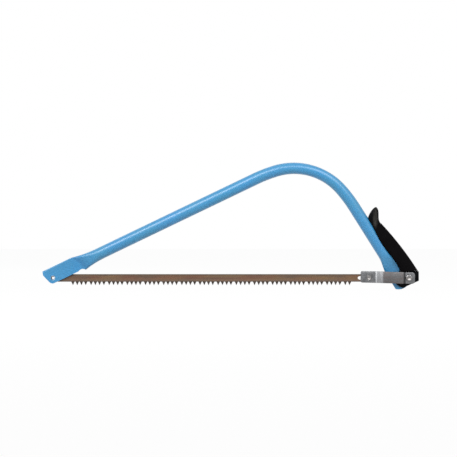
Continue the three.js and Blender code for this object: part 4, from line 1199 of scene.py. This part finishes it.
# %% Eyes of the lever
OVERRUN = 1.0
shank, head = FULCRUM_SHANK + SEAT_GAP, FULCRUM_HEAD + SEAT_GAP
neck, top = FULCRUM_NECK - SEAT_GAP, FOOT_HALF + OVERRUN
sink = [(0, neck), (shank, neck), (head, FOOT_HALF), (head, top), (0, top)]
rivet_eye, foot_eye = RIVET_SHANK + SEAT_GAP, RIVET_FOOT + SEAT_GAP
low, deep = FORK_HALF - OVERRUN, FORK_HALF + FOOT_DEPTH + SEAT_GAP
heel = [(0, low), (foot_eye, low), (foot_eye, FORK_HALF), (rivet_eye, deep), (0, deep)]
carve(core, bar(shank, fulcrum), bar(rivet_eye, link_pivot))
for side in (-1, 1):
    carve(core, turned("cutter", [(r, side * y) for r, y in sink], fulcrum),
          turned("cutter", [(r, side * y) for r, y in heel], link_pivot))
smooth(core, sharp=35)
seat(core, "lever", "lever_gloss", lever_gloss, "lever_core")

# %% [markdown]
# ## Studio
# The saw stands before plain white. A strip lamp in front and above draws one long streak on the tube,
# a broad key and a small fill light the rest, and a back lamp keeps the far side from going dark. The
# floor and the world are white to the eye, while the light that they throw on the saw stays plain.

# %% Floor and world
WHITE, FLOOR_GREY = (1.0, 1.0, 1.0, 1.0), (0.7, 0.7, 0.7, 1.0)
AMBIENT, FLOOR_GLOW, FLOOR_SIZE, FLOOR_DROP = 0.36, 0.97, 8.0, -0.0003


def seen_directly(tree):
    """One where the eye, a mirror or a window looks, nought for scattered light."""
    path = tree.nodes.new("ShaderNodeLightPath").outputs
    seen = calc(tree, "MAXIMUM", path["Is Camera Ray"], path["Is Glossy Ray"])
    return calc(tree, "MAXIMUM", seen, path["Is Transmission Ray"])


world = bpy.data.worlds.new("studio")
bpy.context.scene.world = world
world.use_nodes = True
sky = world.node_tree.nodes["Background"]
sky.inputs["Color"].default_value = WHITE
level_seen = span(world.node_tree, seen_directly(world.node_tree), 0.0, 1.0, AMBIENT, 1.0)
world.node_tree.links.new(level_seen, sky.inputs["Strength"])

pale_floor = bpy.data.materials.new("pale_floor")
pale_floor.use_nodes = True
tree = pale_floor.node_tree
tree.nodes.clear()
matt = wire(tree, "ShaderNodeBsdfDiffuse", FLOOR_GREY)
glow = wire(tree, "ShaderNodeEmission", WHITE, 1.0)
shown = times(tree, seen_directly(tree), FLOOR_GLOW)
mixed = wire(tree, "ShaderNodeMixShader", shown, matt, glow)
surface = tree.nodes.new("ShaderNodeOutputMaterial").inputs["Surface"]
tree.links.new(mixed, surface)
floor_mesh = bpy.data.meshes.new("floor")
corners = ((-1, -1), (1, -1), (1, 1), (-1, 1))
floor_mesh.from_pydata([(x * FLOOR_SIZE, y * FLOOR_SIZE, FLOOR_DROP) for x, y in corners], [],
                       [range(len(corners))])
floor_mesh.materials.append(pale_floor)
show("floor", floor_mesh)
print("floor and world ready")

# %% Lamps and camera


def softbox(name, place, aim, size, watts):
    """A rectangular lamp that faces a point and that the camera doesn't see."""
    lamp = bpy.data.lights.new(name, "AREA")
    lamp.shape = "RECTANGLE"
    lamp.size, lamp.size_y = size
    lamp.energy = watts
    holder = show(name, lamp)
    holder.location = place
    holder.rotation_euler = (Vector(aim) - Vector(place)).to_track_quat("-Z", "Y").to_euler()
    holder.visible_camera = False


CENTRE = (0.0, 0.0, 0.1)
softbox("strip", (-0.8, -1.55, 1.5), CENTRE, (1.3, 0.45), 30)
softbox("key", (1.0, -1.5, 1.7), CENTRE, (1.6, 1.2), 34.5)
softbox("fill", (-1.9, -1.1, 0.35), CENTRE, (0.4, 0.6), 3)
softbox("back", (-1.6, 1.6, 0.9), CENTRE, (1.2, 0.8), 20)
PICTURE_WIDTH, DISTANCE, SENSOR, FAR_CLIP = 0.754, 4.0, 36.0, 50.0
PICTURE_X, PICTURE_Z = -0.0033, 0.1005
eye = bpy.data.cameras.new("camera")
eye.sensor_width = SENSOR
eye.lens = SENSOR * DISTANCE / PICTURE_WIDTH
eye.clip_end = FAR_CLIP
camera = show("camera", eye)
camera.location = (PICTURE_X, -DISTANCE, PICTURE_Z)
camera.rotation_euler = (pi / 2, 0, 0)
bpy.context.scene.camera = camera
bpy.context.scene.view_settings.view_transform = "Standard"
print("lens", round(eye.lens), "mm")
